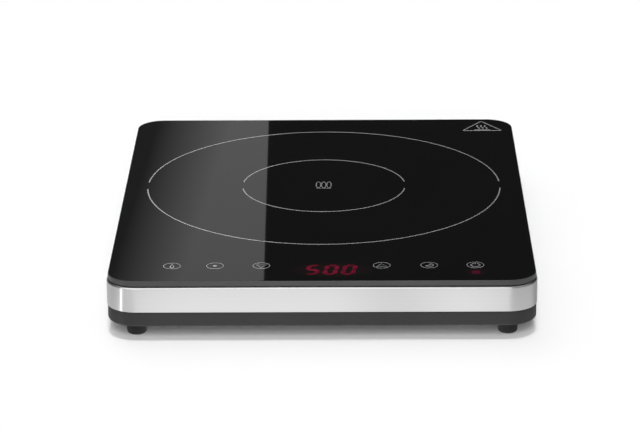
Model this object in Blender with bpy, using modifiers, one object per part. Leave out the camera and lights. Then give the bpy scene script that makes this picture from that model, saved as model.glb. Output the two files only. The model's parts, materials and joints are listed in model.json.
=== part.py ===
"""A portable induction cooktop: glass plate, steel band, plastic tray on four feet, and what is inside.

Metres, +Z up. X runs left to right and -Y is the front, where the touch keys are. The origin is on the
surface that the cooktop stands on, below the middle of the plate.
"""

import math

import bmesh
import bpy
from mathutils import Matrix, Vector

# Overall sizes
GLASS_WIDTH = 0.2926
GLASS_DEPTH = 0.3657
GLASS_THICKNESS = 0.0040
GLASS_CORNER = 0.0200
GLASS_EDGE = 0.0006
GAP = 0.0003  # between pieces that touch on the real object
PAST = 0.0100  # how far a cutter runs past what it cuts

# Steel band round the middle
BAND_HEIGHT = 0.0179
BAND_OVERHANG = 0.0010  # how far it stands out past the glass
BAND_WALL = 0.0010
BAND_ROUNDING = 0.0012
GLASS_JOINT = 0.0005  # dark line between the band and the glass
RIM_WIDTH = 0.0022
FLANGE_SINK = 0.0012  # the glass bead lies in this step
FLANGE_WIDTH = 0.0080
OPENING_CORNER = 0.0520

# Bottom tray
SKIRT_HEIGHT = 0.0100
TRAY_INSET = 0.0005  # from the band's outer face
TRAY_WALL = 0.0022
TRAY_EDGE = 0.0010
LIP_HEIGHT = 0.0062
LIP_WALL = 0.0020
BAND_SEAT = 0.00035  # shadow line between the tray's ledge and the band

# Feet and the screws that go up through them
FOOT_HEIGHT = 0.0113
FOOT_RADIUS = 0.0070
FOOT_TAPER = 0.0002
FOOT_ROUNDING = 0.0020
FOOT_INSET = 0.0190
FOOT_RECESS_RADIUS = 0.0040
FOOT_RECESS_DEPTH = 0.0060
SCREW_RADIUS = 0.0019
SCREW_HEAD_RADIUS = 0.0034
SCREW_HEAD_HEIGHT = 0.0022
SCREW_DRIVE_DEPTH = 0.0010
BOSS_RADIUS = 0.0046
PIN_RADIUS = 0.0015  # small inner screws
PIN_HEAD_RADIUS = 0.0030
PIN_HEAD_HEIGHT = 0.0018
PIN_LENGTH = 0.0080
PIN_POINT = 0.0010
PIN_DRIVE_DEPTH = 0.0008
SCREW_END_CLEARANCE = 0.0012
HOLE_END = 0.0004  # above the tray's inner floor
POST_RADIUS = 0.0036
COIL_POST_RADIUS = 0.0042
CARRIER_POST_X = 0.0966

# Cooking zone and coil
ZONE_Y = 0.0210
WINDING_INNER = 0.0240
WINDING_RADIUS = 0.0780
WINDING_HEIGHT = 0.0042
WINDING_ROUNDING = 0.0012
MICA_THICKNESS = 0.0005
MICA_MARGIN = 0.0020
FORMER_MARGIN = 0.0120
FORMER_THICKNESS = 0.0030
HUB_RADIUS = 0.0110
HUB_WALL = 0.0030
HUB_DEPTH = 0.0090
HUB_FLOOR = 0.0014
FERRITE_COUNT = 6
FERRITE_WIDTH = 0.0140
FERRITE_THICKNESS = 0.0038
FERRITE_MARGIN = 0.0030
WINDOW_WIDTH = 0.0140
COIL_POST_ANGLES = (30.0, 150.0, 270.0)
SENSOR_RADIUS = 0.0060
SENSOR_HEIGHT = 0.0058
SENSOR_EDGE = 0.0010
SENSOR_SPRING_RADIUS = 0.0046
SENSOR_SPRING_TURNS = 4
SPRING_WIRE = 0.0004
LEAD_RADIUS = 0.0018
LEAD_HOLE_RADIUS = 0.0028
LEAD_BEND = 0.0035
OUTER_LEAD_ANGLE = 80.0

# Touch keys, display and their board
KEY_PLACES = (-0.1030, -0.0735, -0.0417, 0.0410, 0.0735, 0.1052)
KEY_SETBACK = 0.0305  # from the glass's front edge
DISPLAY_SETBACK = 0.0220
DISPLAY_WIDTH = 0.0510
DISPLAY_DEPTH = 0.0220
LAMP_SETBACK = 0.0165
LAMP_WIDTH = 0.0050
LAMP_DEPTH = 0.0030
LAMP_SINK = 0.0010  # below the glass
BOARD_THICKNESS = 0.0016
CONTROL_BOARD_WIDTH = 0.2300
CONTROL_BOARD_DEPTH = 0.0340
CONTROL_BOARD_SETBACK = 0.0050
CONTROL_BOARD_DROP = 0.0067  # from the glass down to the board's top
CARRIER_BORDER = 0.0050
CARRIER_HEIGHT = 0.0050
CARRIER_OVERLAP = 0.0020
KEY_SPRING_FOOT = 0.0044
KEY_SPRING_TIP = 0.0030
KEY_SPRING_TURNS = 3.5
BUZZER_RADIUS = 0.0050
BUZZER_HEIGHT = 0.0045
RIBBON_WIDTH = 0.0120
RIBBON_THICKNESS = 0.0008
RIBBON_X = -0.0190
RIBBON_BEND = 0.0040
RIBBON_CLEARANCE = 0.0015  # above the tray's floor

# Power board and what stands on it
POWER_BOARD_WIDTH = 0.1560
POWER_BOARD_DEPTH = 0.0580
POWER_X = -0.0403
POWER_BOARD_BACK = 0.0050  # from the glass's rear edge
POWER_BOARD_STAND = 0.0030
BOARD_SCREW_INSET = 0.0040
REAR_BOARD_SCREW_X = -0.0200
BOARD_PARTS = {  # place from the board's left end and its middle line, width, depth, height, finish
    "terminal_block": (0.0180, 0.0000, 0.0240, 0.0100, 0.0110, "component_green"),
    "filter_capacitor": (0.0450, 0.0120, 0.0260, 0.0110, 0.0150, "component_yellow"),
    "resonance_capacitor": (0.0725, 0.0070, 0.0160, 0.0320, 0.0150, "white_insulation"),
    "standby_transformer": (0.0725, -0.0190, 0.0160, 0.0140, 0.0110, "component_yellow"),
}
SINK_PARTS = {  # place from the sink's middle and the board's middle line, width, depth
    "power_transistor": (0.0170, 0.0080, 0.0160, 0.0210),
    "bridge_rectifier": (-0.0170, 0.0080, 0.0200, 0.0180),
}
COMPONENT_EDGE = 0.0006
CHOKE_PLACE = (0.0450, -0.0110)
CHOKE_RADIUS = 0.0095
CHOKE_THICKNESS = 0.0040
CHOKE_HEIGHT = 0.0090
FUSE_PLACE = (0.0180, -0.0150)
FUSE_RADIUS = 0.0026
FUSE_LENGTH = 0.0200
LAND_INSET = 0.0055  # where a lead meets the board, from its front edge
LAND_RISE = 0.0050  # how high the leads come over the board's edge
SINK_WIDTH = 0.0680
SINK_DEPTH = 0.0440
SINK_BASE = 0.0040
SINK_CLEARANCE = 0.0008  # between the fins and the flange above them
SINK_RIGHT = 0.0060  # from the board's right edge
SINK_REAR = 0.0020
SINK_FIN_THICKNESS = 0.0014
SINK_FINS = 11
DEVICE_HEIGHT = 0.0050

# Fan
FAN_SIZE = 0.0700
FAN_HEIGHT = 0.0150
FAN_CORNER = 0.0050
FAN_RING_WALL = 0.0030
FAN_HOLE_INSET = 0.0050
FAN_HOLE_RADIUS = 0.0021
FAN_STAND = 0.0020
FAN_WALL_CLEARANCE = 0.0030
FAN_HUB_RADIUS = 0.0140
FAN_HUB_HEIGHT = 0.0100
FAN_HUB_EDGE = 0.0010
FAN_BLADES = 7
FAN_BLADE_PITCH = 36.0
FAN_BLADE_CHORD = 0.0130
FAN_BLADE_THICKNESS = 0.0012
FAN_TIP_CLEARANCE = 0.0010
FAN_BRACE = 0.0015
FAN_BRACE_WIDTH = 0.0040

FAN_LEAD_RADIUS = 0.0011
FAN_LEAD_RISE = 0.0060  # from the frame's base

# Air slots in the tray
SLOT_WIDTH = 0.0030
SLOT_PITCH = 0.0065
INLET_MARGIN = 0.0010
OUTLET_SLOTS = 9
OUTLET_LENGTH = 0.0340
OUTLET_SETBACK = 0.0600
OUTLET_X = 0.0750
REAR_SLOTS = 14
REAR_SLOT_HEIGHT = 0.0048

# Cable gland in the back of the band
GLAND_SETBACK = 0.0463  # from the glass's left edge
GLAND_BORE = 0.0038
GLAND_THREAD = 0.0052
GLAND_FLANGE_RADIUS = 0.0072
GLAND_FLANGE = 0.0036
GLAND_FLANGE_ROUNDING = 0.0010
GLAND_LENGTH = 0.0110
GLAND_NUT_RADIUS = 0.0074
GLAND_NUT_THICKNESS = 0.0040
GLAND_NOTCH_WIDTH = 0.0190
GLAND_NOTCH_DEPTH = 0.0060
GLAND_MOUTH = 0.0006  # chamfer of the bore

# Levels, from the surface it stands on upwards
TRAY_BASE = FOOT_HEIGHT
FLOOR = TRAY_BASE + TRAY_WALL
LEDGE = TRAY_BASE + SKIRT_HEIGHT
BAND_BASE = LEDGE + BAND_SEAT
BAND_TOP = BAND_BASE + BAND_HEIGHT
FLANGE_TOP = BAND_TOP - FLANGE_SINK
FLANGE_BOTTOM = FLANGE_TOP - BAND_WALL
GLASS_BASE = BAND_TOP + GLASS_JOINT
GLASS_TOP = GLASS_BASE + GLASS_THICKNESS
MICA_BASE = GLASS_BASE - GAP - MICA_THICKNESS
WINDING_BASE = MICA_BASE - GAP - WINDING_HEIGHT
FORMER_TOP = WINDING_BASE - GAP
FORMER_BASE = FORMER_TOP - FORMER_THICKNESS
FERRITE_BASE = FORMER_BASE - GAP - FERRITE_THICKNESS
HUB_BASE = FORMER_TOP - HUB_DEPTH
CONTROL_TOP = GLASS_BASE - CONTROL_BOARD_DROP
CONTROL_BASE = CONTROL_TOP - BOARD_THICKNESS
CARRIER_TOP = CONTROL_BASE - GAP
CARRIER_BASE = CARRIER_TOP - CARRIER_HEIGHT
POWER_BASE = FLOOR + POWER_BOARD_STAND
POWER_TOP = POWER_BASE + BOARD_THICKNESS
FAN_BASE = FLOOR + FAN_STAND
FAN_TOP = FAN_BASE + FAN_HEIGHT

# Places in plan
FRONT = -GLASS_DEPTH / 2
REAR = GLASS_DEPTH / 2
BAND_WIDTH = GLASS_WIDTH + 2 * BAND_OVERHANG
BAND_DEPTH = GLASS_DEPTH + 2 * BAND_OVERHANG
BAND_CORNER = GLASS_CORNER + BAND_OVERHANG
LIP_INSET = BAND_WALL + GAP  # from the band's outer face
FOOT_X = GLASS_WIDTH / 2 - FOOT_INSET
FOOT_Y = GLASS_DEPTH / 2 - FOOT_INSET
FORMER_RADIUS = WINDING_RADIUS + FORMER_MARGIN
COIL_POST_CIRCLE = WINDING_RADIUS + FORMER_MARGIN / 2
FAN_X = FOOT_X - BOSS_RADIUS - FAN_WALL_CLEARANCE - FAN_SIZE / 2
FAN_Y = BAND_DEPTH / 2 - LIP_INSET - LIP_WALL - FAN_WALL_CLEARANCE - FAN_SIZE / 2
FAN_HOLE_PLACE = FAN_SIZE / 2 - FAN_HOLE_INSET
FAN_BORE_RADIUS = FAN_SIZE / 2 - FAN_RING_WALL
CONTROL_Y = FRONT + CONTROL_BOARD_SETBACK + CONTROL_BOARD_DEPTH / 2
POWER_Y = REAR - POWER_BOARD_BACK - POWER_BOARD_DEPTH / 2
POWER_SCREWS = (
    (-POWER_BOARD_WIDTH / 2 + BOARD_SCREW_INSET, -POWER_BOARD_DEPTH / 2 + BOARD_SCREW_INSET),
    (POWER_BOARD_WIDTH / 2 - BOARD_SCREW_INSET, -POWER_BOARD_DEPTH / 2 + BOARD_SCREW_INSET),
    (REAR_BOARD_SCREW_X, POWER_BOARD_DEPTH / 2 - BOARD_SCREW_INSET),
)
SINK_X = POWER_X + POWER_BOARD_WIDTH / 2 - SINK_WIDTH / 2 - SINK_RIGHT
SINK_Y = POWER_Y + POWER_BOARD_DEPTH / 2 - SINK_DEPTH / 2 - SINK_REAR
SINK_BOTTOM = POWER_TOP + DEVICE_HEIGHT + 2 * GAP
SINK_TOP = FLANGE_BOTTOM - SINK_CLEARANCE
GLAND_X = -GLASS_WIDTH / 2 + GLAND_SETBACK
GLAND_Z = (BAND_BASE + FLANGE_BOTTOM) / 2
CORNERS = {"front_left": (-1, -1), "front_right": (1, -1), "rear_left": (-1, 1), "rear_right": (1, 1)}

ROUND = 32
COIL_ROUND = 48
CORNER_STEPS = 9
EDGE_STEPS = 3
SMALL_STEPS = 3

FINISHES = {  # colour, roughness, metallic
    "black_glass": ((0.010, 0.010, 0.011), 0.06, 0.0),
    "silicone": ((0.020, 0.020, 0.020), 0.60, 0.0),
    "brushed_steel": ((0.620, 0.620, 0.610), 0.30, 1.0),
    "dark_plastic": ((0.050, 0.050, 0.052), 0.55, 0.0),
    "rubber": ((0.018, 0.018, 0.018), 0.75, 0.0),
    "zinc_steel": ((0.550, 0.550, 0.540), 0.35, 1.0),
    "black_plastic": ((0.020, 0.020, 0.021), 0.50, 0.0),
    "phenolic": ((0.090, 0.060, 0.040), 0.60, 0.0),
    "copper": ((0.600, 0.260, 0.110), 0.40, 1.0),
    "mica": ((0.560, 0.500, 0.400), 0.50, 0.0),
    "ferrite": ((0.060, 0.058, 0.060), 0.60, 0.0),
    "board": ((0.030, 0.130, 0.060), 0.45, 0.0),
    "aluminium": ((0.700, 0.700, 0.710), 0.35, 1.0),
    "white_insulation": ((0.700, 0.690, 0.660), 0.50, 0.0),
    "component_black": ((0.015, 0.015, 0.016), 0.40, 0.0),
    "component_yellow": ((0.600, 0.420, 0.060), 0.45, 0.0),
    "component_green": ((0.070, 0.250, 0.120), 0.50, 0.0),
    "red_lens": ((0.400, 0.010, 0.015), 0.20, 0.0),
    "ribbon_grey": ((0.320, 0.320, 0.330), 0.50, 0.0),
}


def clear_scene():
    """Removes what the scene holds, and makes the two collections."""
    for old in list(bpy.data.objects):
        bpy.data.objects.remove(old)
    made = []
    for name in ("induction_cooktop", "cutters"):
        collection = bpy.data.collections.new(name)
        bpy.context.scene.collection.children.link(collection)
        made.append(collection)
    return made


PARTS, CUTTERS = clear_scene()


def finish(name):
    """The material of this name from FINISHES, made once."""
    found = bpy.data.materials.get(name)
    if found:
        return found
    colour, roughness, metallic = FINISHES[name]
    made = bpy.data.materials.new(name)
    made.use_nodes = True
    shader = made.node_tree.nodes["Principled BSDF"]
    shader.inputs["Base Color"].default_value = (*colour, 1)
    shader.inputs["Roughness"].default_value = roughness
    shader.inputs["Metallic"].default_value = metallic
    made.diffuse_color = (*colour, 1)
    return made


def add(name, mesh, finish_name=None, place=(0, 0, 0), turn=0.0):
    """Links a new object: a part where it has a finish, and a cutter where it has none."""
    made = bpy.data.objects.new(name, mesh)
    made.location = place
    made.rotation_euler = (0, 0, turn)
    if finish_name:
        PARTS.objects.link(made)
        if finish(finish_name).name not in mesh.materials:
            mesh.materials.append(finish(finish_name))
    else:
        CUTTERS.objects.link(made)
        made.hide_render = True
        made.display_type = "WIRE"
    return made


def mesh_from(bm, name):
    bmesh.ops.recalc_face_normals(bm, faces=bm.faces)
    mesh = bpy.data.meshes.new(name)
    bm.to_mesh(mesh)
    bm.free()
    return mesh


def slab(name, width, depth, bottom, top, corner=0.0, top_edge=0.0, bottom_edge=0.0, steps=None, **where):
    """A box with rounded upright corners, each of so many steps, and rounded top and bottom edges."""
    bm = bmesh.new()
    bmesh.ops.create_cube(bm, size=1.0)
    bmesh.ops.scale(bm, vec=(width, depth, top - bottom), verts=bm.verts)
    bmesh.ops.translate(bm, vec=(0, 0, (top + bottom) / 2), verts=bm.verts)
    middle = (top + bottom) / 2
    if corner:
        upright = [e for e in bm.edges if (e.verts[0].co.z - middle) * (e.verts[1].co.z - middle) < 0]
        bmesh.ops.bevel(
            bm, geom=upright, offset=corner, segments=steps or CORNER_STEPS, profile=0.5, affect="EDGES"
        )
    for level, radius in ((top, top_edge), (bottom, bottom_edge)):
        if radius:
            rim = [e for e in bm.edges if all(abs(v.co.z - level) < 1e-6 for v in e.verts)]
            bmesh.ops.bevel(bm, geom=rim, offset=radius, segments=EDGE_STEPS, profile=0.5, affect="EDGES")
    return add(name, mesh_from(bm, name), **where)


def rod(name, radius, bottom, top, sides=ROUND, across=None, **where):
    """An upright cylinder, or one that lies along X or Y where across says so."""
    bm = bmesh.new()
    bmesh.ops.create_cone(
        bm, cap_ends=True, segments=sides, radius1=radius, radius2=radius, depth=top - bottom
    )
    bmesh.ops.translate(bm, vec=(0, 0, (top + bottom) / 2), verts=bm.verts)
    if across:
        axis = {"X": (0, 1, 0), "Y": (-1, 0, 0)}[across]
        bmesh.ops.rotate(bm, cent=(0, 0, 0), matrix=Matrix.Rotation(math.pi / 2, 3, axis), verts=bm.verts)
    return add(name, mesh_from(bm, name), **where)


def turned(name, profile, sides=ROUND, **where):
    """A profile of (radius, height) points turned about Z. It runs down its outer side."""
    mesh = bpy.data.meshes.new(name)
    count = len(profile)
    closed = min(radius for radius, _ in profile) > 0
    edges = [(i, (i + 1) % count) for i in range(count if closed else count - 1)]
    mesh.from_pydata([(radius, 0, height) for radius, height in profile], edges, [])
    made = add(name, mesh, **where)
    screw = made.modifiers.new("Screw", "SCREW")
    screw.steps = sides
    screw.render_steps = sides
    screw.use_merge_vertices = True
    screw.merge_threshold = 0.00001
    screw.use_smooth_shade = False
    return made


def solid_copy(source, name, finish_name=None):
    """The evaluated object as a plain mesh object, and the source removed."""
    bpy.context.view_layer.update()
    mesh = bpy.data.meshes.new_from_object(source.evaluated_get(bpy.context.evaluated_depsgraph_get()))
    bm = bmesh.new()
    bm.from_mesh(mesh)
    bmesh.ops.remove_doubles(bm, verts=bm.verts, dist=0.000001)
    bmesh.ops.recalc_face_normals(bm, faces=bm.faces)
    bm.to_mesh(mesh)
    bm.free()
    mesh.materials.clear()
    matrix = source.matrix_world.copy()
    bpy.data.objects.remove(source)
    made = add(name, mesh, finish_name)
    made.matrix_world = matrix
    return made


def boolean(target, operation, tools):
    """Adds one Boolean to the target for all the tools, which go in a collection of their own."""
    group = bpy.data.collections.new(f"{target.name}_{operation.lower()}")
    CUTTERS.children.link(group)
    for tool in tools:
        CUTTERS.objects.unlink(tool)
        group.objects.link(tool)
    modifier = target.modifiers.new(operation.title(), "BOOLEAN")
    modifier.operation = operation
    modifier.operand_type = "COLLECTION"
    modifier.collection = group
    modifier.solver = "EXACT"


def cut(target, *tools):
    boolean(target, "DIFFERENCE", tools)


def join(target, *tools):
    boolean(target, "UNION", tools)


def round_shading(piece, degrees=35):
    piece.data.shade_smooth()
    piece.data.set_sharp_from_angle(angle=math.radians(degrees))


def wire(name, points, radius, finish_name):
    """A round wire through these points."""
    curve = bpy.data.curves.new(name, "CURVE")
    curve.dimensions = "3D"
    curve.bevel_depth = radius
    curve.bevel_resolution = 1
    curve.use_fill_caps = True
    spline = curve.splines.new("POLY")
    spline.points.add(len(points) - 1)
    for point, place in zip(spline.points, points):
        point.co = (*place, 1)
    made = bpy.data.objects.new(name, curve)
    PARTS.objects.link(made)
    curve.materials.append(finish(finish_name))
    return made


def rounded_route(corners, bend, steps=4):
    """Straight runs between the corners, and a curve in place of each corner, starting this far before it."""
    knots = [Vector(corner) for corner in corners]
    points = [knots[0]]
    for before, knot, after in zip(knots, knots[1:], knots[2:]):
        reach = min(bend, 0.49 * (before - knot).length, 0.49 * (after - knot).length)
        start = knot + (before - knot).normalized() * reach
        end = knot + (after - knot).normalized() * reach
        for step in range(steps + 1):
            share = step / steps
            points.append(start.lerp(knot, share).lerp(knot.lerp(end, share), share))
    return [*points, knots[-1]]


def helix(bottom, top, foot_radius, tip_radius, turns, steps_a_turn=9):
    """Points of a spring from its foot to its tip. Its ends stay one wire radius inside the levels."""
    count = round(turns * steps_a_turn)
    points = []
    for i in range(count + 1):
        share = i / count
        angle = 2 * math.pi * turns * share
        radius = foot_radius + (tip_radius - foot_radius) * share
        height = bottom + SPRING_WIRE + (top - bottom - 2 * SPRING_WIRE) * share
        points.append((radius * math.cos(angle), radius * math.sin(angle), height))
    return points


def around(angle_deg, radius, centre=(0.0, 0.0)):
    angle = math.radians(angle_deg)
    return (centre[0] + radius * math.cos(angle), centre[1] + radius * math.sin(angle))


def row(count, pitch):
    """Places centred on zero."""
    return [(i - (count - 1) / 2) * pitch for i in range(count)]


def glass_plate():
    plate = slab(
        "glass_plate", GLASS_WIDTH, GLASS_DEPTH, GLASS_BASE, GLASS_TOP, GLASS_CORNER,
        top_edge=GLASS_EDGE, bottom_edge=GLASS_EDGE, finish_name="black_glass",
    )
    round_shading(plate, 25)


def glass_bead():
    """The silicone that bonds the glass to the band's flange."""
    inset = RIM_WIDTH + GAP
    width = FLANGE_WIDTH - inset - 2 * GAP
    bead = slab(
        "glass_bead", BAND_WIDTH - 2 * inset, BAND_DEPTH - 2 * inset, FLANGE_TOP + GAP, GLASS_BASE - GAP,
        BAND_CORNER - inset, finish_name="silicone",
    )
    inner = inset + width
    cut(bead, slab("bead_inside", BAND_WIDTH - 2 * inner, BAND_DEPTH - 2 * inner, FLANGE_TOP, GLASS_BASE,
                   BAND_CORNER - inner))


def steel_band():
    """The band with its rolled top edge, the sunk flange that carries the glass and the gland's hole."""
    band = slab(
        "steel_band", BAND_WIDTH, BAND_DEPTH, BAND_BASE, BAND_TOP, BAND_CORNER,
        top_edge=BAND_ROUNDING, finish_name="brushed_steel",
    )
    below, above = BAND_BASE - PAST, BAND_TOP + PAST

    def inside(name, inset, bottom, top, corner):
        return slab(name, BAND_WIDTH - 2 * inset, BAND_DEPTH - 2 * inset, bottom, top, corner)

    cut(band, inside("band_inside", BAND_WALL, below, FLANGE_BOTTOM, BAND_CORNER - BAND_WALL))
    cut(band, inside("glass_step", RIM_WIDTH, FLANGE_TOP, above, BAND_CORNER - RIM_WIDTH))
    tools = [inside("band_opening", FLANGE_WIDTH, below, above, OPENING_CORNER)]
    tools.append(
        rod("gland_hole", GLAND_THREAD + GAP, -PAST, PAST, across="Y", place=(GLAND_X, REAR, GLAND_Z))
    )
    for name, (side, end) in CORNERS.items():
        tools.append(
            rod(f"flange_hole_{name}", SCREW_RADIUS + GAP, below, above, 16,
                place=(side * FOOT_X, end * FOOT_Y, 0))
        )
    cut(band, *tools)
    round_shading(band, 30)


def tray_posts():
    """Every boss and post that stands on the tray's floor: (name, x, y, top, radius, hole radius)."""
    posts = [
        (f"boss_{name}", side * FOOT_X, end * FOOT_Y, FLANGE_BOTTOM - GAP, BOSS_RADIUS, SCREW_RADIUS + GAP)
        for name, (side, end) in CORNERS.items()
    ]
    for i, angle in enumerate(COIL_POST_ANGLES):
        x, y = around(angle, COIL_POST_CIRCLE, (0, ZONE_Y))
        posts.append((f"coil_post_{i}", x, y, FORMER_BASE - GAP, COIL_POST_RADIUS, PIN_RADIUS + GAP))
    for i, (x, y) in enumerate(POWER_SCREWS):
        posts.append(
            (f"board_post_{i}", POWER_X + x, POWER_Y + y, POWER_BASE - GAP, POST_RADIUS, PIN_RADIUS + GAP)
        )
    for i, (x, y) in enumerate(((-1, -1), (1, -1), (-1, 1), (1, 1))):
        place = (FAN_X + x * FAN_HOLE_PLACE, FAN_Y + y * FAN_HOLE_PLACE)
        posts.append((f"fan_post_{i}", *place, FAN_BASE - GAP, POST_RADIUS, PIN_RADIUS + GAP))
        place = (x * CARRIER_POST_X, CONTROL_Y + y * (CONTROL_BOARD_DEPTH / 2 - CARRIER_BORDER / 2))
        posts.append((f"carrier_post_{i}", *place, CARRIER_BASE - GAP, POST_RADIUS, 0.0))
    return posts


def air_slots():
    """Cutters for the fan's inlet below it, the outlets near the front and the slots in the back."""
    tools = []
    low, high = TRAY_BASE - PAST, FLOOR + PAST
    inlet_radius = FAN_BORE_RADIUS - INLET_MARGIN
    count = 2 * int((inlet_radius - SLOT_WIDTH / 2) / SLOT_PITCH) + 1
    for i, offset in enumerate(row(count, SLOT_PITCH)):
        length = 2 * math.sqrt(inlet_radius**2 - (abs(offset) + SLOT_WIDTH / 2) ** 2)
        if length > 2 * SLOT_WIDTH:
            place = (FAN_X + offset, FAN_Y, 0)
            tools.append(slab(f"inlet_slot_{i}", SLOT_WIDTH, length, low, high, place=place))
    for side in (-1, 1):
        for i, offset in enumerate(row(OUTLET_SLOTS, SLOT_PITCH)):
            place = (side * OUTLET_X + offset, FRONT + OUTLET_SETBACK + OUTLET_LENGTH / 2, 0)
            tools.append(slab(f"outlet_slot_{side}_{i}", SLOT_WIDTH, OUTLET_LENGTH, low, high, place=place))
    middle = (FLOOR + LEDGE) / 2
    for i, offset in enumerate(row(REAR_SLOTS, SLOT_PITCH)):
        tools.append(
            slab(f"rear_slot_{i}", SLOT_WIDTH, PAST, middle - REAR_SLOT_HEIGHT / 2,
                 middle + REAR_SLOT_HEIGHT / 2, place=(offset, REAR, 0))
        )
    return tools


def bottom_tray():
    """The moulded tray: floor, skirt, the lip inside the band, bosses and posts, and the air slots."""
    outer = dict(width=BAND_WIDTH - 2 * TRAY_INSET, depth=BAND_DEPTH - 2 * TRAY_INSET,
                 corner=BAND_CORNER - TRAY_INSET)
    tray = slab(
        "bottom_tray", bottom=TRAY_BASE, top=LEDGE, bottom_edge=TRAY_EDGE, finish_name="dark_plastic", **outer
    )
    lip_width, lip_depth = BAND_WIDTH - 2 * LIP_INSET, BAND_DEPTH - 2 * LIP_INSET
    lip_corner = BAND_CORNER - LIP_INSET
    join(tray, slab("lip", lip_width, lip_depth, LEDGE - SKIRT_HEIGHT / 3, LEDGE + LIP_HEIGHT, lip_corner))
    wall = LIP_INSET + LIP_WALL
    cut(tray, slab("tray_inside", BAND_WIDTH - 2 * wall, BAND_DEPTH - 2 * wall, FLOOR, BAND_TOP,
                   BAND_CORNER - wall))
    posts = tray_posts()
    join(tray, *(rod(name, radius, FLOOR - TRAY_WALL / 2, top, 16, place=(x, y, 0))
                 for name, x, y, top, radius, _ in posts))
    tools = air_slots()
    for name, x, y, top, _, hole in posts:
        if hole:
            base = TRAY_BASE - PAST if name.startswith("boss") else max(FLOOR + HOLE_END, top - PIN_LENGTH)
            tools.append(rod(f"{name}_hole", hole, base, top + PAST, 12, place=(x, y, 0)))
    tools.append(slab("gland_notch", GLAND_NOTCH_WIDTH, 2 * GLAND_NOTCH_DEPTH, LEDGE + GAP, BAND_TOP,
                      place=(GLAND_X, REAR, 0)))
    cut(tray, *tools)
    round_shading(tray, 30)


def feet():
    """Four rubber feet, each with a recess for the head of the screw that goes up through it."""
    hole = SCREW_RADIUS + GAP
    top = TRAY_BASE - GAP
    arc = [
        (
            FOOT_RADIUS - FOOT_TAPER - FOOT_ROUNDING * (1 - math.cos(a)),
            FOOT_ROUNDING * (1 - math.sin(a)),
        )
        for a in (0, math.pi / 6, math.pi / 3, math.pi / 2)
    ]
    profile = [(FOOT_RADIUS, top), *arc, (FOOT_RECESS_RADIUS, 0), (FOOT_RECESS_RADIUS, FOOT_RECESS_DEPTH),
               (hole, FOOT_RECESS_DEPTH), (hole, top)]
    for name, (side, end) in CORNERS.items():
        place = (side * FOOT_X, end * FOOT_Y, 0)
        turned(f"foot_{name}", profile, 28, finish_name="rubber", place=place)
        under = FOOT_RECESS_DEPTH - GAP
        case_screw(f"case_screw_{name}", under, GLASS_BASE - 2 * GAP, place)


def case_screw(name, under_head, tip, place):
    head = under_head - SCREW_HEAD_HEIGHT
    drive = head + SCREW_DRIVE_DEPTH
    wide = SCREW_HEAD_RADIUS
    profile = [(0, tip), (SCREW_RADIUS * 0.6, tip), (SCREW_RADIUS, tip - SCREW_RADIUS),
               (SCREW_RADIUS, under_head), (wide, under_head), (wide * 0.94, head + SCREW_HEAD_HEIGHT * 0.3),
               (wide * 0.7, head), (SCREW_RADIUS * 0.6, head), (SCREW_RADIUS * 0.5, drive), (0, drive)]
    turned(name, profile, 16, finish_name="zinc_steel", place=place)


def small_screw(name, under_head, place, length):
    """A pan-head screw that points down."""
    top = under_head + PIN_HEAD_HEIGHT
    drive = top - PIN_DRIVE_DEPTH
    end = under_head - length
    profile = [(0, drive), (PIN_RADIUS * 0.6, drive), (PIN_RADIUS * 0.7, top),
               (PIN_HEAD_RADIUS * 0.75, top), (PIN_HEAD_RADIUS, under_head + PIN_HEAD_HEIGHT * 0.5),
               (PIN_HEAD_RADIUS, under_head), (PIN_RADIUS, under_head), (PIN_RADIUS, end + PIN_POINT),
               (PIN_RADIUS * 0.5, end), (0, end)]
    turned(name, profile, 12, finish_name="zinc_steel", place=(*place, 0))


def cable_gland():
    """The gland in the band's back wall. The cord would pass along its bore."""
    outside = GLAND_FLANGE + BAND_DEPTH / 2
    wall_inner = BAND_DEPTH / 2 - BAND_WALL
    # Heights run along the bore, outwards, and are turned to +Y.
    flange = BAND_DEPTH / 2 + GAP
    tail = outside - GLAND_FLANGE - GLAND_LENGTH
    nose = [
        (
            GLAND_FLANGE_RADIUS - GLAND_FLANGE_ROUNDING * (1 - math.sin(a)),
            outside - GLAND_FLANGE_ROUNDING * (1 - math.cos(a)),
        )
        for a in (0, math.pi / 6, math.pi / 3, math.pi / 2)
    ]
    profile = [(GLAND_BORE + GLAND_MOUTH, outside), *nose, (GLAND_FLANGE_RADIUS, flange),
               (GLAND_THREAD, flange), (GLAND_THREAD, tail), (GLAND_BORE, tail),
               (GLAND_BORE, outside - GLAND_MOUTH)]
    body = turned("cable_gland", profile, 24, finish_name="black_plastic", place=(GLAND_X, 0, GLAND_Z))
    body.rotation_euler = (-math.pi / 2, 0, 0)
    back = wall_inner - GAP
    nut = rod("gland_nut", GLAND_NUT_RADIUS, -GLAND_NUT_THICKNESS, 0, 6, across="Y",
              finish_name="black_plastic", place=(GLAND_X, back - GLAND_NUT_THICKNESS, GLAND_Z))
    cut(nut, rod("nut_thread", GLAND_THREAD + GAP, -PAST, PAST, 24, across="Y",
                 place=(GLAND_X, back, GLAND_Z)))


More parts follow.
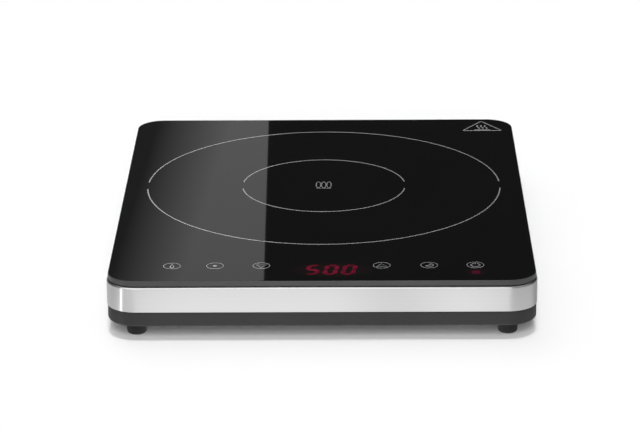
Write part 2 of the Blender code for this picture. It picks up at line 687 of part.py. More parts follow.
def coil():
    """Former, winding, ferrites, mica sheet, the spring-loaded sensor, the three screws and the two leads."""
    centre = (0, ZONE_Y, 0)
    well = HUB_RADIUS - HUB_WALL
    former = turned(
        "coil_former",
        [(0, HUB_BASE + HUB_FLOOR), (well, HUB_BASE + HUB_FLOOR), (well, FORMER_TOP),
         (FORMER_RADIUS, FORMER_TOP), (FORMER_RADIUS, FORMER_BASE), (HUB_RADIUS, FORMER_BASE),
         (HUB_RADIUS, HUB_BASE), (0, HUB_BASE)],
        COIL_ROUND, finish_name="phenolic", place=centre,
    )
    tools = []
    window = (WINDING_INNER + WINDING_RADIUS) / 2
    window_length = (WINDING_RADIUS - WINDING_INNER) * 0.72
    for i in range(FERRITE_COUNT):
        angle = (i + 0.5) * 360 / FERRITE_COUNT
        x, y = around(angle, window, (0, ZONE_Y))
        tools.append(slab(f"window_{i}", window_length, WINDOW_WIDTH, FORMER_BASE - PAST, FORMER_TOP + PAST,
                          WINDOW_WIDTH / 4, steps=SMALL_STEPS, place=(x, y, 0), turn=math.radians(angle)))
    for i, angle in enumerate(COIL_POST_ANGLES):
        x, y = around(angle, COIL_POST_CIRCLE, (0, ZONE_Y))
        tools.append(rod(f"former_hole_{i}", PIN_RADIUS + GAP, FORMER_BASE - PAST, FORMER_TOP + PAST, 12,
                         place=(x, y, 0)))
        small_screw(f"coil_screw_{i + 1}", FORMER_TOP + GAP, (x, y), PIN_LENGTH)
    lead_x, lead_y = around(90, (HUB_RADIUS + WINDING_INNER) / 2, (0, ZONE_Y))
    tools.append(rod("lead_hole", LEAD_HOLE_RADIUS, FORMER_BASE - PAST, FORMER_TOP + PAST, 12,
                     place=(lead_x, lead_y, 0)))
    cut(former, *tools)
    r = WINDING_ROUNDING
    top = WINDING_BASE + WINDING_HEIGHT
    turned(
        "coil_winding",
        [(WINDING_RADIUS - r, top), (WINDING_RADIUS, top - r), (WINDING_RADIUS, WINDING_BASE + r),
         (WINDING_RADIUS - r, WINDING_BASE), (WINDING_INNER + r, WINDING_BASE),
         (WINDING_INNER, WINDING_BASE + r), (WINDING_INNER, top - r), (WINDING_INNER + r, top)],
        COIL_ROUND, finish_name="copper", place=centre,
    )
    mica_radius = WINDING_RADIUS + MICA_MARGIN
    turned(
        "mica_sheet",
        [(mica_radius, MICA_BASE + MICA_THICKNESS), (mica_radius, MICA_BASE), (well, MICA_BASE),
         (well, MICA_BASE + MICA_THICKNESS)],
        COIL_ROUND, finish_name="mica", place=centre,
    )
    ferrite_length = WINDING_RADIUS - WINDING_INNER - 2 * FERRITE_MARGIN
    for i in range(FERRITE_COUNT):
        angle = i * 360 / FERRITE_COUNT
        x, y = around(angle, window, (0, ZONE_Y))
        slab(f"ferrite_bar_{i + 1}", ferrite_length, FERRITE_WIDTH, FERRITE_BASE,
             FERRITE_BASE + FERRITE_THICKNESS, finish_name="ferrite", place=(x, y, 0),
             turn=math.radians(angle))
    sensor_top = GLASS_BASE - GAP
    sensor_base = sensor_top - SENSOR_HEIGHT
    turned(
        "temperature_sensor",
        [(0, sensor_top), (SENSOR_RADIUS - SENSOR_EDGE, sensor_top),
         (SENSOR_RADIUS, sensor_top - SENSOR_EDGE), (SENSOR_RADIUS, sensor_base), (0, sensor_base)],
        24, finish_name="white_insulation", place=centre,
    )
    spring = helix(HUB_BASE + HUB_FLOOR + GAP, sensor_base - GAP, SENSOR_SPRING_RADIUS, SENSOR_SPRING_RADIUS,
                   SENSOR_SPRING_TURNS)
    wire("sensor_spring", spring, SPRING_WIRE, "zinc_steel").location = centre
    coil_leads(lead_x, lead_y)


def coil_leads(lead_x, lead_y):
    """The inner end of the winding goes down through the former, and the outer end over its edge."""
    low = (FLOOR + FERRITE_BASE) / 2
    board_edge = POWER_Y - POWER_BOARD_DEPTH / 2
    land = POWER_TOP + GAP + LEAD_RADIUS
    over_board = POWER_TOP + LAND_RISE
    inner = [
        (lead_x, lead_y, WINDING_BASE + LEAD_RADIUS), (lead_x, lead_y, low),
        (lead_x, board_edge - LEAD_BEND, low), (lead_x, board_edge, over_board),
        (lead_x, board_edge + LAND_INSET, land),
    ]
    wire("coil_lead_inner", rounded_route(inner, LEAD_BEND), LEAD_RADIUS, "copper")
    start = around(OUTER_LEAD_ANGLE, WINDING_RADIUS + LEAD_RADIUS + 2 * GAP, (0, ZONE_Y))
    over = around(OUTER_LEAD_ANGLE, FORMER_RADIUS + LEAD_BEND, (0, ZONE_Y))
    height = FORMER_TOP + LEAD_RADIUS + 2 * GAP
    outer = [
        (*start, height), (*over, height), (*over, over_board), (over[0], board_edge, over_board),
        (over[0], board_edge + LAND_INSET, land),
    ]
    wire("coil_lead_outer", rounded_route(outer, LEAD_BEND), LEAD_RADIUS, "copper")


def controls():
    """Touch board on its carrier, the contact springs, the display, the lamp, the buzzer and the ribbon."""
    place = (0, CONTROL_Y, 0)
    slab("control_board", CONTROL_BOARD_WIDTH, CONTROL_BOARD_DEPTH, CONTROL_BASE, CONTROL_TOP,
         finish_name="board", place=place)
    width, depth = CONTROL_BOARD_WIDTH + CARRIER_OVERLAP, CONTROL_BOARD_DEPTH + CARRIER_OVERLAP
    carrier = slab("board_carrier", width, depth, CARRIER_BASE, CARRIER_TOP, finish_name="black_plastic",
                   place=place)
    cut(carrier, slab("carrier_opening", width - 2 * CARRIER_BORDER, depth - 2 * CARRIER_BORDER,
                      CARRIER_BASE - PAST, CARRIER_TOP + PAST, place=place))
    foot = CONTROL_TOP + GAP
    tip = GLASS_BASE - GAP
    for i, x in enumerate(KEY_PLACES):
        spring = helix(foot, tip, KEY_SPRING_FOOT, KEY_SPRING_TIP, KEY_SPRING_TURNS, 8)
        wire(f"key_spring_{i + 1}", spring, SPRING_WIRE, "zinc_steel").location = (x, FRONT + KEY_SETBACK, 0)
    slab("display", DISPLAY_WIDTH, DISPLAY_DEPTH, foot, tip, finish_name="component_black",
         place=(0, FRONT + DISPLAY_SETBACK, 0))
    slab("power_lamp", LAMP_WIDTH, LAMP_DEPTH, foot, tip - LAMP_SINK, finish_name="red_lens",
         place=(KEY_PLACES[-1], FRONT + LAMP_SETBACK, 0))
    buzzer_x = (KEY_PLACES[3] + KEY_PLACES[4]) / 2
    rod("buzzer", BUZZER_RADIUS, foot, foot + BUZZER_HEIGHT, 20, finish_name="component_black",
        place=(buzzer_x, FRONT + DISPLAY_SETBACK, 0))
    ribbon_cable()


def ribbon_cable():
    """The flat cable from the touch board to the power board, under the coil."""
    low = FLOOR + RIBBON_CLEARANCE
    board_edge = POWER_Y - POWER_BOARD_DEPTH / 2
    over_board = POWER_TOP + RIBBON_BEND
    route = [
        (0, CONTROL_Y, CONTROL_BASE - GAP), (0, CONTROL_Y, low), (0, board_edge - RIBBON_BEND, low),
        (0, board_edge - RIBBON_BEND, over_board), (0, board_edge + RIBBON_BEND, over_board),
        (0, board_edge + RIBBON_BEND, POWER_TOP + GAP),
    ]
    points = rounded_route(route, RIBBON_BEND)
    bm = bmesh.new()
    rows = [[bm.verts.new((side * RIBBON_WIDTH / 2, p.y, p.z)) for side in (-1, 1)] for p in points]
    for one, two in zip(rows, rows[1:]):
        bm.faces.new((one[0], one[1], two[1], two[0]))
    ribbon = add("ribbon_cable", mesh_from(bm, "ribbon_cable"), "ribbon_grey", place=(RIBBON_X, 0, 0))
    shell = ribbon.modifiers.new("Solidify", "SOLIDIFY")
    shell.thickness = RIBBON_THICKNESS
    shell.offset = 0


def power_board():
    """The power board on three posts, the heat sink over the two power devices, and the mains filter."""
    board = slab("power_board", POWER_BOARD_WIDTH, POWER_BOARD_DEPTH, POWER_BASE, POWER_TOP,
                 finish_name="board", place=(POWER_X, POWER_Y, 0))
    tools = []
    for i, (x, y) in enumerate(POWER_SCREWS):
        place = (POWER_X + x, POWER_Y + y)
        tools.append(rod(f"board_hole_{i}", PIN_RADIUS + GAP, POWER_BASE - PAST, POWER_TOP + PAST, 12,
                         place=(*place, 0)))
        small_screw(f"board_screw_{i + 1}", POWER_TOP + GAP, place, POWER_TOP - FLOOR - SCREW_END_CLEARANCE)
    cut(board, *tools)
    heat_sink()
    seat = POWER_TOP + GAP

    left = POWER_X - POWER_BOARD_WIDTH / 2
    for name, (x, y, width, depth, height, finish_name) in BOARD_PARTS.items():
        component(name, (left + x, POWER_Y + y, seat), width, depth, height, finish_name)
    for name, (x, y, width, depth) in SINK_PARTS.items():
        component(name, (SINK_X + x, POWER_Y + y, seat), width, depth, DEVICE_HEIGHT, "component_black")
    outer, inner, flat = CHOKE_RADIUS + CHOKE_THICKNESS, CHOKE_RADIUS - CHOKE_THICKNESS, CHOKE_THICKNESS * 0.6
    low, high = CHOKE_HEIGHT * 0.2, CHOKE_HEIGHT * 0.8
    turned(
        "filter_choke",
        [(outer, high), (outer, low), (CHOKE_RADIUS + flat, 0), (CHOKE_RADIUS - flat, 0), (inner, low),
         (inner, high), (CHOKE_RADIUS - flat, CHOKE_HEIGHT), (CHOKE_RADIUS + flat, CHOKE_HEIGHT)],
        24, finish_name="component_green", place=(left + CHOKE_PLACE[0], POWER_Y + CHOKE_PLACE[1], seat),
    )
    rod("mains_fuse", FUSE_RADIUS, -FUSE_LENGTH / 2, FUSE_LENGTH / 2, 16, across="X",
        finish_name="white_insulation",
        place=(left + FUSE_PLACE[0], POWER_Y + FUSE_PLACE[1], seat + FUSE_RADIUS))


def component(name, place, width, depth, height, finish_name):
    slab(name, width, depth, 0, height, COMPONENT_EDGE, COMPONENT_EDGE / 2, steps=SMALL_STEPS,
         finish_name=finish_name, place=place)


def heat_sink():
    """An extruded comb: a base with fins that run back to front, and the fan's air passes between them."""
    pitch = (SINK_WIDTH - SINK_FIN_THICKNESS) / (SINK_FINS - 1)
    outline = [(-SINK_WIDTH / 2, SINK_BOTTOM), (SINK_WIDTH / 2, SINK_BOTTOM)]
    for middle in reversed(row(SINK_FINS, pitch)):
        right, left = middle + SINK_FIN_THICKNESS / 2, middle - SINK_FIN_THICKNESS / 2
        root = SINK_BOTTOM + SINK_BASE
        outline += [(right, root), (right, SINK_TOP), (left, SINK_TOP), (left, root)]
    outline = [p for i, p in enumerate(outline) if i not in (2, len(outline) - 1)]
    curve = bpy.data.curves.new("heat_sink_outline", "CURVE")
    curve.dimensions = "2D"
    curve.fill_mode = "BOTH"
    curve.extrude = SINK_DEPTH / 2
    spline = curve.splines.new("POLY")
    spline.points.add(len(outline) - 1)
    for point, (x, z) in zip(spline.points, outline):
        point.co = (x, z, 0, 1)
    spline.use_cyclic_u = True
    sketch = bpy.data.objects.new("heat_sink_sketch", curve)
    CUTTERS.objects.link(sketch)
    sketch.location = (SINK_X, SINK_Y, 0)
    sketch.rotation_euler = (math.pi / 2, 0, 0)
    solid_copy(sketch, "heat_sink", "aluminium")


def fan():
    """A square axial fan that lies over the inlet: its bored frame with braces and motor plate, and rotor."""
    place = (FAN_X, FAN_Y, 0)
    frame = slab("fan_frame", FAN_SIZE, FAN_SIZE, FAN_BASE, FAN_TOP, FAN_CORNER, finish_name="black_plastic",
                 place=place)
    tools = [rod("fan_bore", FAN_BORE_RADIUS, FAN_BASE - PAST, FAN_TOP + PAST, 40, place=place)]
    corners = [(x * FAN_HOLE_PLACE, y * FAN_HOLE_PLACE) for x in (-1, 1) for y in (-1, 1)]
    for i, (x, y) in enumerate(corners):
        tools.append(rod(f"fan_hole_{i}", FAN_HOLE_RADIUS, FAN_BASE - PAST, FAN_TOP + PAST, 12,
                         place=(FAN_X + x, FAN_Y + y, 0)))
    cut(frame, *tools)
    plate = rod("motor_plate", FAN_HUB_RADIUS, FAN_TOP - FAN_BRACE, FAN_TOP, 24, place=place)
    reach = FAN_BORE_RADIUS + FAN_RING_WALL / 2
    braces = [
        slab(f"brace_{i}", 2 * reach, FAN_BRACE_WIDTH, FAN_TOP - FAN_BRACE * 0.9, FAN_TOP - FAN_BRACE * 0.1,
             place=place, turn=math.radians(45 + 90 * i))
        for i in range(2)
    ]
    join(frame, plate)
    join(frame, braces[0])
    join(frame, braces[1])
    screw_length = FAN_HEIGHT + FAN_STAND - HOLE_END - GAP
    for i, (x, y) in enumerate((corners[0], corners[3])):
        small_screw(f"fan_screw_{i + 1}", FAN_TOP + GAP, (FAN_X + x, FAN_Y + y), screw_length)
    fan_rotor()
    side = FAN_X - FAN_SIZE / 2 - GAP
    land = POWER_X + POWER_BOARD_WIDTH / 2 - SINK_RIGHT / 2
    height = FAN_BASE + FAN_LEAD_RISE
    route = [(side, FAN_Y, height), (land, FAN_Y, height), (land, FAN_Y, POWER_TOP + GAP)]
    wire("fan_lead", rounded_route(route, 2 * FAN_LEAD_RADIUS), FAN_LEAD_RADIUS, "component_black")


def fan_rotor():
    """Hub and pitched blades. It turns about its own Z axis."""
    axle = bpy.data.objects.new("fan_axle", None)
    axle.location = (FAN_X, FAN_Y, 0)
    PARTS.objects.link(axle)
    hub_top = FAN_TOP - FAN_BRACE - GAP
    hub_base = hub_top - FAN_HUB_HEIGHT
    rim = FAN_HUB_RADIUS * 0.96
    hub = turned(
        "fan_rotor",
        [(0, hub_top), (FAN_HUB_RADIUS, hub_top), (FAN_HUB_RADIUS, hub_base + FAN_HUB_EDGE), (rim, hub_base),
         (0, hub_base)],
        28, finish_name="black_plastic",
    )
    tip = FAN_BORE_RADIUS - FAN_TIP_CLEARANCE
    half_chord = FAN_BLADE_CHORD / 2 * math.cos(math.radians(FAN_BLADE_PITCH))
    reach = math.sqrt(tip**2 - (half_chord + FAN_BLADE_THICKNESS) ** 2)
    root = FAN_HUB_RADIUS * 0.7
    middle = (hub_top + hub_base) / 2
    for i in range(FAN_BLADES):
        bm = bmesh.new()
        bmesh.ops.create_cube(bm, size=1.0)
        bmesh.ops.scale(bm, vec=(reach - root, FAN_BLADE_CHORD, FAN_BLADE_THICKNESS), verts=bm.verts)
        pitch = Matrix.Rotation(math.radians(FAN_BLADE_PITCH), 3, "X")
        bmesh.ops.rotate(bm, cent=(0, 0, 0), matrix=pitch, verts=bm.verts)
        bmesh.ops.translate(bm, vec=((reach + root) / 2, 0, 0), verts=bm.verts)
        blade = add(f"blade_{i}", mesh_from(bm, f"blade_{i}"), place=(0, 0, middle),
                    turn=2 * math.pi * i / FAN_BLADES)
        join(hub, blade)
        blade.parent = axle
    hub.parent = axle


def main():
    glass_plate()
    glass_bead()
    steel_band()
    bottom_tray()
    feet()
    cable_gland()
    coil()
    controls()
    power_board()
    fan()


main()
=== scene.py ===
# %% [markdown]
# # A portable induction cooktop
#
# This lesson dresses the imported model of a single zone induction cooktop. The model already has every part
# at its true size, so nothing is moved here. Each outer part gets a finer mesh in the same place, each
# inner part gets a finish, and the printed marks, the lit display and a plain studio are added.

import json
import math

import bmesh
import bpy
from mathutils import Matrix, Vector


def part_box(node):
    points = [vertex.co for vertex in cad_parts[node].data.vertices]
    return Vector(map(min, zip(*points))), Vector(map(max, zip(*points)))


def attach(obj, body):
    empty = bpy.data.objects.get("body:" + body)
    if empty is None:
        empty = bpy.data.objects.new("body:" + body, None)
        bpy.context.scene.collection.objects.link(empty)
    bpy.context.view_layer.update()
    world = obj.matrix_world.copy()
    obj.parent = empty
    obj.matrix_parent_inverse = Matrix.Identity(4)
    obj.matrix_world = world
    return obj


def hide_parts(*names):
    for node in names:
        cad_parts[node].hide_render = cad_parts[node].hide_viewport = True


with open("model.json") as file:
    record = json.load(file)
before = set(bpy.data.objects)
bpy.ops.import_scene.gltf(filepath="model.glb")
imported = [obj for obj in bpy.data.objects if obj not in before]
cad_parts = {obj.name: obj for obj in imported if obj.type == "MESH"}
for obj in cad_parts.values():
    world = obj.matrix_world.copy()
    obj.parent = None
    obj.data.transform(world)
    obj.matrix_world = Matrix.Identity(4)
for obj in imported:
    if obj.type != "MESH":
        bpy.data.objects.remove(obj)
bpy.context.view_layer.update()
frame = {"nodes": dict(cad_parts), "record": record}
SCENE = bpy.context.scene
NODES = frame["nodes"]
BODY = "cooktop"

# %% [markdown]
# ## Camera
#
# A long lens from a little over two metres away keeps the plate's sides nearly parallel, as product
# pictures do. The camera stands in front of the touch keys, looks down by 19 degrees and is turned a trace
# to the left. A matrix made of three turns keeps each angle a plain number that can be changed by itself.

# %% Place the camera
CAMERA_PLACE = (0.0189, -2.1244, 0.7646)
CAMERA_LENS = 172.1
CAMERA_DOWN = 19.098
CAMERA_LEFT = 0.580
CAMERA_ROLL = -0.398


def place_camera():
    camera = bpy.data.objects.new("camera", bpy.data.cameras.new("camera"))
    camera.data.lens = CAMERA_LENS
    camera.data.sensor_width = 36.0
    camera.data.clip_end = 50.0
    turn = Matrix.Rotation(math.radians(CAMERA_LEFT), 4, "Z")
    tilt = Matrix.Rotation(math.radians(90 - CAMERA_DOWN), 4, "X")
    roll = Matrix.Rotation(math.radians(CAMERA_ROLL), 4, "Z")
    camera.matrix_world = Matrix.Translation(CAMERA_PLACE) @ turn @ tilt @ roll
    SCENE.collection.objects.link(camera)
    SCENE.camera = camera
    return camera


camera = place_camera()
print("camera at", tuple(round(v, 3) for v in camera.matrix_world.translation))

# %% [markdown]
# ## Sizes that the outer parts share
#
# The heights and the plan sizes are read from the CAD parts' boxes. Only radii and line widths, which a box
# doesn't tell, are numbers here. All of them are in metres.

# %% Read the sizes from the frame
GLASS_LOW, GLASS_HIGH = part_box("glass_plate")
BAND_LOW, BAND_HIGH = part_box("steel_band")
TRAY_LOW, TRAY_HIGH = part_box("bottom_tray")
GLASS_CORNER = 0.0200
BAND_CORNER = 0.0210
PRINT_HEIGHT = 0.00005  # the printed marks stand this far above the glass
PLATE_TOP = GLASS_HIGH.z - PRINT_HEIGHT
ZONE = Vector((0.0002, 0.0210, PLATE_TOP))


def middle_of(part):
    low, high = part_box(part)
    return (low + high) / 2


CORNER_NAMES = ("front_left", "front_right", "rear_left", "rear_right")
KEY_PLACES = [middle_of(f"key_spring_{number}").x for number in range(1, 7)]
KEY_Y = middle_of("key_spring_1").y
DISPLAY_Y = middle_of("display").y
LAMP = middle_of("power_lamp")
print("plate", GLASS_HIGH - GLASS_LOW, "band", BAND_HIGH - BAND_LOW)

# %% [markdown]
# ## Helpers for node trees
#
# Materials and Geometry Nodes trees are both built from nodes and links. A few small helpers keep the cells
# short. One makes a node and sets its options, and one opens a new tree with named sockets. Others stand
# for the nodes that come up often, and one finds the identifier by which a modifier knows a socket.

# %% Node helpers
def node(tree, kind, inputs=None, **options):
    """A node with its options set and its inputs set or linked."""
    made = tree.nodes.new(kind)
    for key, value in options.items():
        setattr(made, key, value)
    for key, value in (inputs or {}).items():
        if isinstance(value, bpy.types.NodeSocket):
            tree.links.new(value, made.inputs[key])
        else:
            made.inputs[key].default_value = value
    return made


def new_tree(name, kind, inputs, outputs):
    """A node group with named sockets. Returns the tree, what is given to it and what it gives."""
    tree = bpy.data.node_groups.new(name, kind)
    for side, sockets in (("INPUT", inputs), ("OUTPUT", outputs)):
        for label, socket in sockets.items():
            tree.interface.new_socket(label, in_out=side, socket_type="NodeSocket" + socket)
    return tree, tree.nodes.new("NodeGroupInput").outputs, tree.nodes.new("NodeGroupOutput").inputs


def math_node(tree, operation, *values):
    return node(tree, "ShaderNodeMath", dict(enumerate(values)), operation=operation).outputs[0]


def times(tree, one, two):
    return math_node(tree, "MULTIPLY", one, two)


def minus(tree, one, two):
    return math_node(tree, "SUBTRACT", one, two)


def vector_math(tree, operation, *values):
    return node(tree, "ShaderNodeVectorMath", dict(enumerate(values)), operation=operation).outputs


def noise(tree, vector, scale, detail, **more):
    inputs = {"Vector": vector, "Scale": scale, "Detail": detail, **more}
    return node(tree, "ShaderNodeTexNoise", inputs).outputs[0]


def span(tree, value, start, end, first, last, smooth=False):
    """Maps start to end onto first to last, and holds the ends."""
    inputs = {"Value": value, "From Min": start, "From Max": end, "To Min": first, "To Max": last}
    return node(tree, "ShaderNodeMapRange", inputs,
                interpolation_type="SMOOTHSTEP" if smooth else "LINEAR").outputs[0]


def blend(tree, factor, low, high):
    """A colour between two colours."""
    mix = node(tree, "ShaderNodeMix", {0: factor, 6: (*low, 1), 7: (*high, 1)}, data_type="RGBA")
    return mix.outputs[2]


def object_place(tree):
    return node(tree, "ShaderNodeTexCoord").outputs["Object"]


def parts_of(tree, vector):
    """The X, Y and Z of a vector."""
    return node(tree, "ShaderNodeSeparateXYZ", {0: vector}).outputs


def socket_id(tree, label):
    """A modifier's input is set by the socket's identifier."""
    return next(s.identifier for s in tree.interface.items_tree if s.name == label and s.in_out == "INPUT")


# %% [markdown]
# ## Surface effects that several finishes share
#
# Real surfaces are never one flat colour. Moulded plastic and rubber have a fine spark-eroded texture,
# steel has brushing lines, and everything that is touched has faint smudges that change its gloss. Each
# effect is a node group with named inputs, so that all the finishes use the same three and only their
# numbers differ.

# %% Moulded texture
def texture_group():
    """Fine grain with a broad variation under it, from 0 to 1."""
    tree, given, result = new_tree(
        "moulded texture", "ShaderNodeTree", {"Grain Scale": "Float", "Broad Scale": "Float"},
        {"Grain": "Float", "Broad": "Float"},
    )
    place = object_place(tree)
    tree.links.new(noise(tree, place, given["Grain Scale"], 3.0), result["Grain"])
    tree.links.new(noise(tree, place, given["Broad Scale"], 2.0), result["Broad"])
    return tree


# %% Brushing
def brushing_group():
    """Level brushing lines: long along X and Y, and very fine along Z. Two layers differ in length."""
    tree, given, result = new_tree(
        "brushing", "ShaderNodeTree", {"Fineness": "Float", "Along": "Float"}, {"Lines": "Float"}
    )
    across = node(tree, "ShaderNodeCombineXYZ",
                  {"X": given["Along"], "Y": given["Along"], "Z": given["Fineness"]})
    stretched = vector_math(tree, "MULTIPLY", object_place(tree), across.outputs[0])[0]
    fine = noise(tree, stretched, 1.0, 4.0, Roughness=0.7)
    coarse = noise(tree, stretched, 0.22, 2.0)
    lines = math_node(tree, "MULTIPLY_ADD", fine, 0.7, times(tree, coarse, 0.3))
    tree.links.new(lines, result["Lines"])
    return tree


# %% Smudges
def smudge_group():
    """Soft finger smudges: a mask that is mostly 0 and rises in patches."""
    tree, given, result = new_tree(
        "smudges", "ShaderNodeTree", {"Patch Scale": "Float", "Coverage": "Float"}, {"Mask": "Float"}
    )
    patches = noise(tree, object_place(tree), given["Patch Scale"], 5.0, Distortion=0.6)
    start = minus(tree, 1.0, given["Coverage"])
    tree.links.new(span(tree, patches, start, 1.0, 0.0, 1.0), result["Mask"])
    return tree


TEXTURE, BRUSHING, SMUDGES = texture_group(), brushing_group(), smudge_group()
print("effects:", [tree.name for tree in (TEXTURE, BRUSHING, SMUDGES)])

# %% [markdown]
# ## Finishes
#
# A finish is a Principled BSDF whose colour, roughness and bump follow one of the groups. Numbers that are
# the same all over, such as metallic, are set on the shader itself. One function makes the common kind, and
# the glass, the steel and the lit parts get cells of their own below.

# %% The common finish
def blank_material(name, **constants):
    """A material with its Principled BSDF, whose sockets get these constants."""
    made = bpy.data.materials.new(name)
    made.use_nodes = True
    shader = made.node_tree.nodes["Principled BSDF"]
    for key, value in constants.items():
        shader.inputs[key.replace("_", " ")].default_value = value
    return made, made.node_tree, shader


def grouped(tree, group, **values):
    made = tree.nodes.new("ShaderNodeGroup")
    made.node_tree = group
    for key, value in values.items():
        made.inputs[key.replace("_", " ")].default_value = value
    return made.outputs


def drive_colour(tree, shader, factor, low, high):
    tree.links.new(blend(tree, factor, low, high), shader.inputs["Base Color"])


def drive_roughness(tree, shader, factor, low, high):
    tree.links.new(span(tree, factor, 0.0, 1.0, low, high), shader.inputs["Roughness"])


def drive_bump(tree, shader, height, depth, strength=1.0):
    bump = node(tree, "ShaderNodeBump", {"Height": height, "Distance": depth, "Strength": strength})
    tree.links.new(bump.outputs[0], shader.inputs["Normal"])


def moulded(name, dark, light, rough, grain=1800.0, depth=0.00002, broad=30.0, **constants):
    """Plastic, rubber, ceramic and other parts with a fine texture and a slight change of tone."""
    material, tree, shader = blank_material(name, **constants)
    effect = grouped(tree, TEXTURE, Grain_Scale=grain, Broad_Scale=broad)
    drive_colour(tree, shader, effect["Broad"], dark, light)
    drive_roughness(tree, shader, effect["Grain"], *rough)
    drive_bump(tree, shader, effect["Grain"], depth)
    return material


def brushed(name, dark, light, rough, fineness, along, depth, **constants):
    """Metal with level brushing lines in its colour, gloss and bump."""
    material, tree, shader = blank_material(name, Metallic=1.0, **constants)
    effect = grouped(tree, BRUSHING, Fineness=fineness, Along=along)
    drive_colour(tree, shader, effect["Lines"], dark, light)
    drive_roughness(tree, shader, effect["Lines"], *rough)
    drive_bump(tree, shader, effect["Lines"], depth, 0.4)
    return material


# %% [markdown]
# ### The finishes of the parts
#
# The tray is a dark grey plastic with a soft sheen, and the feet are a blacker and duller rubber. Inside,
# circuit boards, copper, ferrite and mica each have their own tone and grain.

# %% Make the moulded finishes
FINISH = {
    "dark_plastic": moulded("tray plastic", (0.013, 0.013, 0.013), (0.0185, 0.0185, 0.0185), (0.42, 0.62)),
    "rubber": moulded("foot rubber", (0.005, 0.005, 0.005), (0.010, 0.010, 0.010), (0.62, 0.85), grain=900.0,
                      depth=0.00004),
    "silicone": moulded("glass bonding silicone", (0.012, 0.012, 0.012), (0.020, 0.020, 0.020), (0.5, 0.7)),
    "black_plastic": moulded("black moulding", (0.014, 0.014, 0.015), (0.024, 0.024, 0.025), (0.35, 0.60)),
    "component_black": moulded("component body", (0.010, 0.010, 0.011), (0.022, 0.022, 0.023), (0.30, 0.55)),
    "component_yellow": moulded("dipped capacitor", (0.50, 0.33, 0.03), (0.66, 0.46, 0.08), (0.18, 0.36)),
    "component_green": moulded("green moulding", (0.04, 0.20, 0.08), (0.09, 0.30, 0.14), (0.25, 0.45)),
    "white_insulation": moulded("white insulation", (0.60, 0.58, 0.54), (0.76, 0.75, 0.72), (0.35, 0.60)),
    "phenolic": moulded("coil former moulding", (0.060, 0.038, 0.026), (0.115, 0.078, 0.052), (0.45, 0.70)),
    "mica": moulded("pressed mica", (0.42, 0.36, 0.27), (0.66, 0.61, 0.52), (0.30, 0.65), grain=420.0,
                    broad=160.0),
    "ferrite": moulded("sintered ferrite", (0.035, 0.034, 0.036), (0.075, 0.072, 0.075), (0.50, 0.75),
                       grain=700.0),
    "board": moulded("circuit board", (0.016, 0.090, 0.038), (0.045, 0.180, 0.085), (0.25, 0.50), grain=500.0,
                     broad=220.0),
    "ribbon_grey": moulded("ribbon sleeve", (0.25, 0.25, 0.26), (0.40, 0.40, 0.41), (0.35, 0.55),
                           grain=600.0),
}
FINISH["zinc_steel"] = brushed("zinc plating", (0.44, 0.44, 0.43), (0.66, 0.66, 0.65), (0.22, 0.42), 900.0,
                               300.0, 0.000004)
FINISH["aluminium"] = brushed("extruded aluminium", (0.62, 0.62, 0.63), (0.80, 0.80, 0.81), (0.28, 0.45),
                              1600.0, 40.0, 0.000006)
print("moulded and metal finishes:", len(FINISH))

# %% [markdown]
# ### Brushed steel band
#
# The band is brushed lengthwise, so its lines run level right round it, and its highlights are drawn out
# upright. Level lines come from a noise that is stretched along X and Y. The drawn-out highlights come from
# the shader's own anisotropy, with the direction of the brushing turned upright.

# %% Make the steel
FINISH["brushed_steel"] = brushed(
    "brushed steel", (0.76, 0.76, 0.76), (0.84, 0.84, 0.84), (0.25, 0.33), 5200.0, 9.0, 0.0000012,
    Anisotropic=0.97, Anisotropic_Rotation=0.25,
)
print("steel:", FINISH["brushed_steel"].name)

# %% [markdown]
# ### Copper of the winding
#
# The winding is stranded wire: a bundle of fine enamelled strands that are twisted together. The tube that
# stands for the bundle carries two values, how far along the wire a point is and where it is round the
# wire, and their sum makes the slanting strands.

# %% Make the copper
STRANDS = 9
STRAND_TWIST = 260.0  # turns of phase for a metre of wire


def stranded_copper():
    material, tree, shader = blank_material("stranded copper", Metallic=1.0)
    length = node(tree, "ShaderNodeAttribute", attribute_name="wire_length").outputs["Fac"]
    turn = node(tree, "ShaderNodeAttribute", attribute_name="wire_turn").outputs["Fac"]
    round_wire = times(tree, turn, float(STRANDS))
    phase = math_node(tree, "MULTIPLY_ADD", length, STRAND_TWIST, round_wire)
    wave = math_node(tree, "SINE", times(tree, phase, 2 * math.pi))
    strand = math_node(tree, "MULTIPLY_ADD", wave, 0.5, 0.5)
    drive_colour(tree, shader, strand, (0.20, 0.065, 0.022), (0.68, 0.30, 0.13))
    drive_roughness(tree, shader, strand, 0.50, 0.28)
    drive_bump(tree, shader, strand, 0.0002)
    return material


FINISH["copper"] = stranded_copper()

# %% [markdown]
# ### Glass plate
#
# The plate is black glass-ceramic. Its top is polished, and gives back whatever stands behind it as a
# mirror would, more so at a low angle, which the shader's own Fresnel does. Faint smudges change the gloss.
# Where the display and the power lamp shine through, a soft red glow spreads in the glass. It is an
# emission mask that is worked out from the distance to the lit parts.

# %% Make the polished glass
# (centre, radii, brightness) of each glow
DISPLAY_GLOW = ((0.0063, DISPLAY_Y, 0.0), (0.0225, 0.0115), 0.006)
LAMP_GLOW = ((LAMP.x, LAMP.y, 0.0), (0.0060, 0.0065), 0.004)


def glow_mask(tree, place, spot):
    """A soft oval round a lit part: strongest inside, and gone at its rim."""
    centre, radii, brightness = spot
    moved = vector_math(tree, "SUBTRACT", place, centre)[0]
    scaled = vector_math(tree, "MULTIPLY", moved, (1 / radii[0], 1 / radii[1], 0.0))[0]
    length = vector_math(tree, "LENGTH", scaled)["Value"]
    return times(tree, span(tree, length, 0.55, 1.55, 1.0, 0.0, smooth=True), brightness)


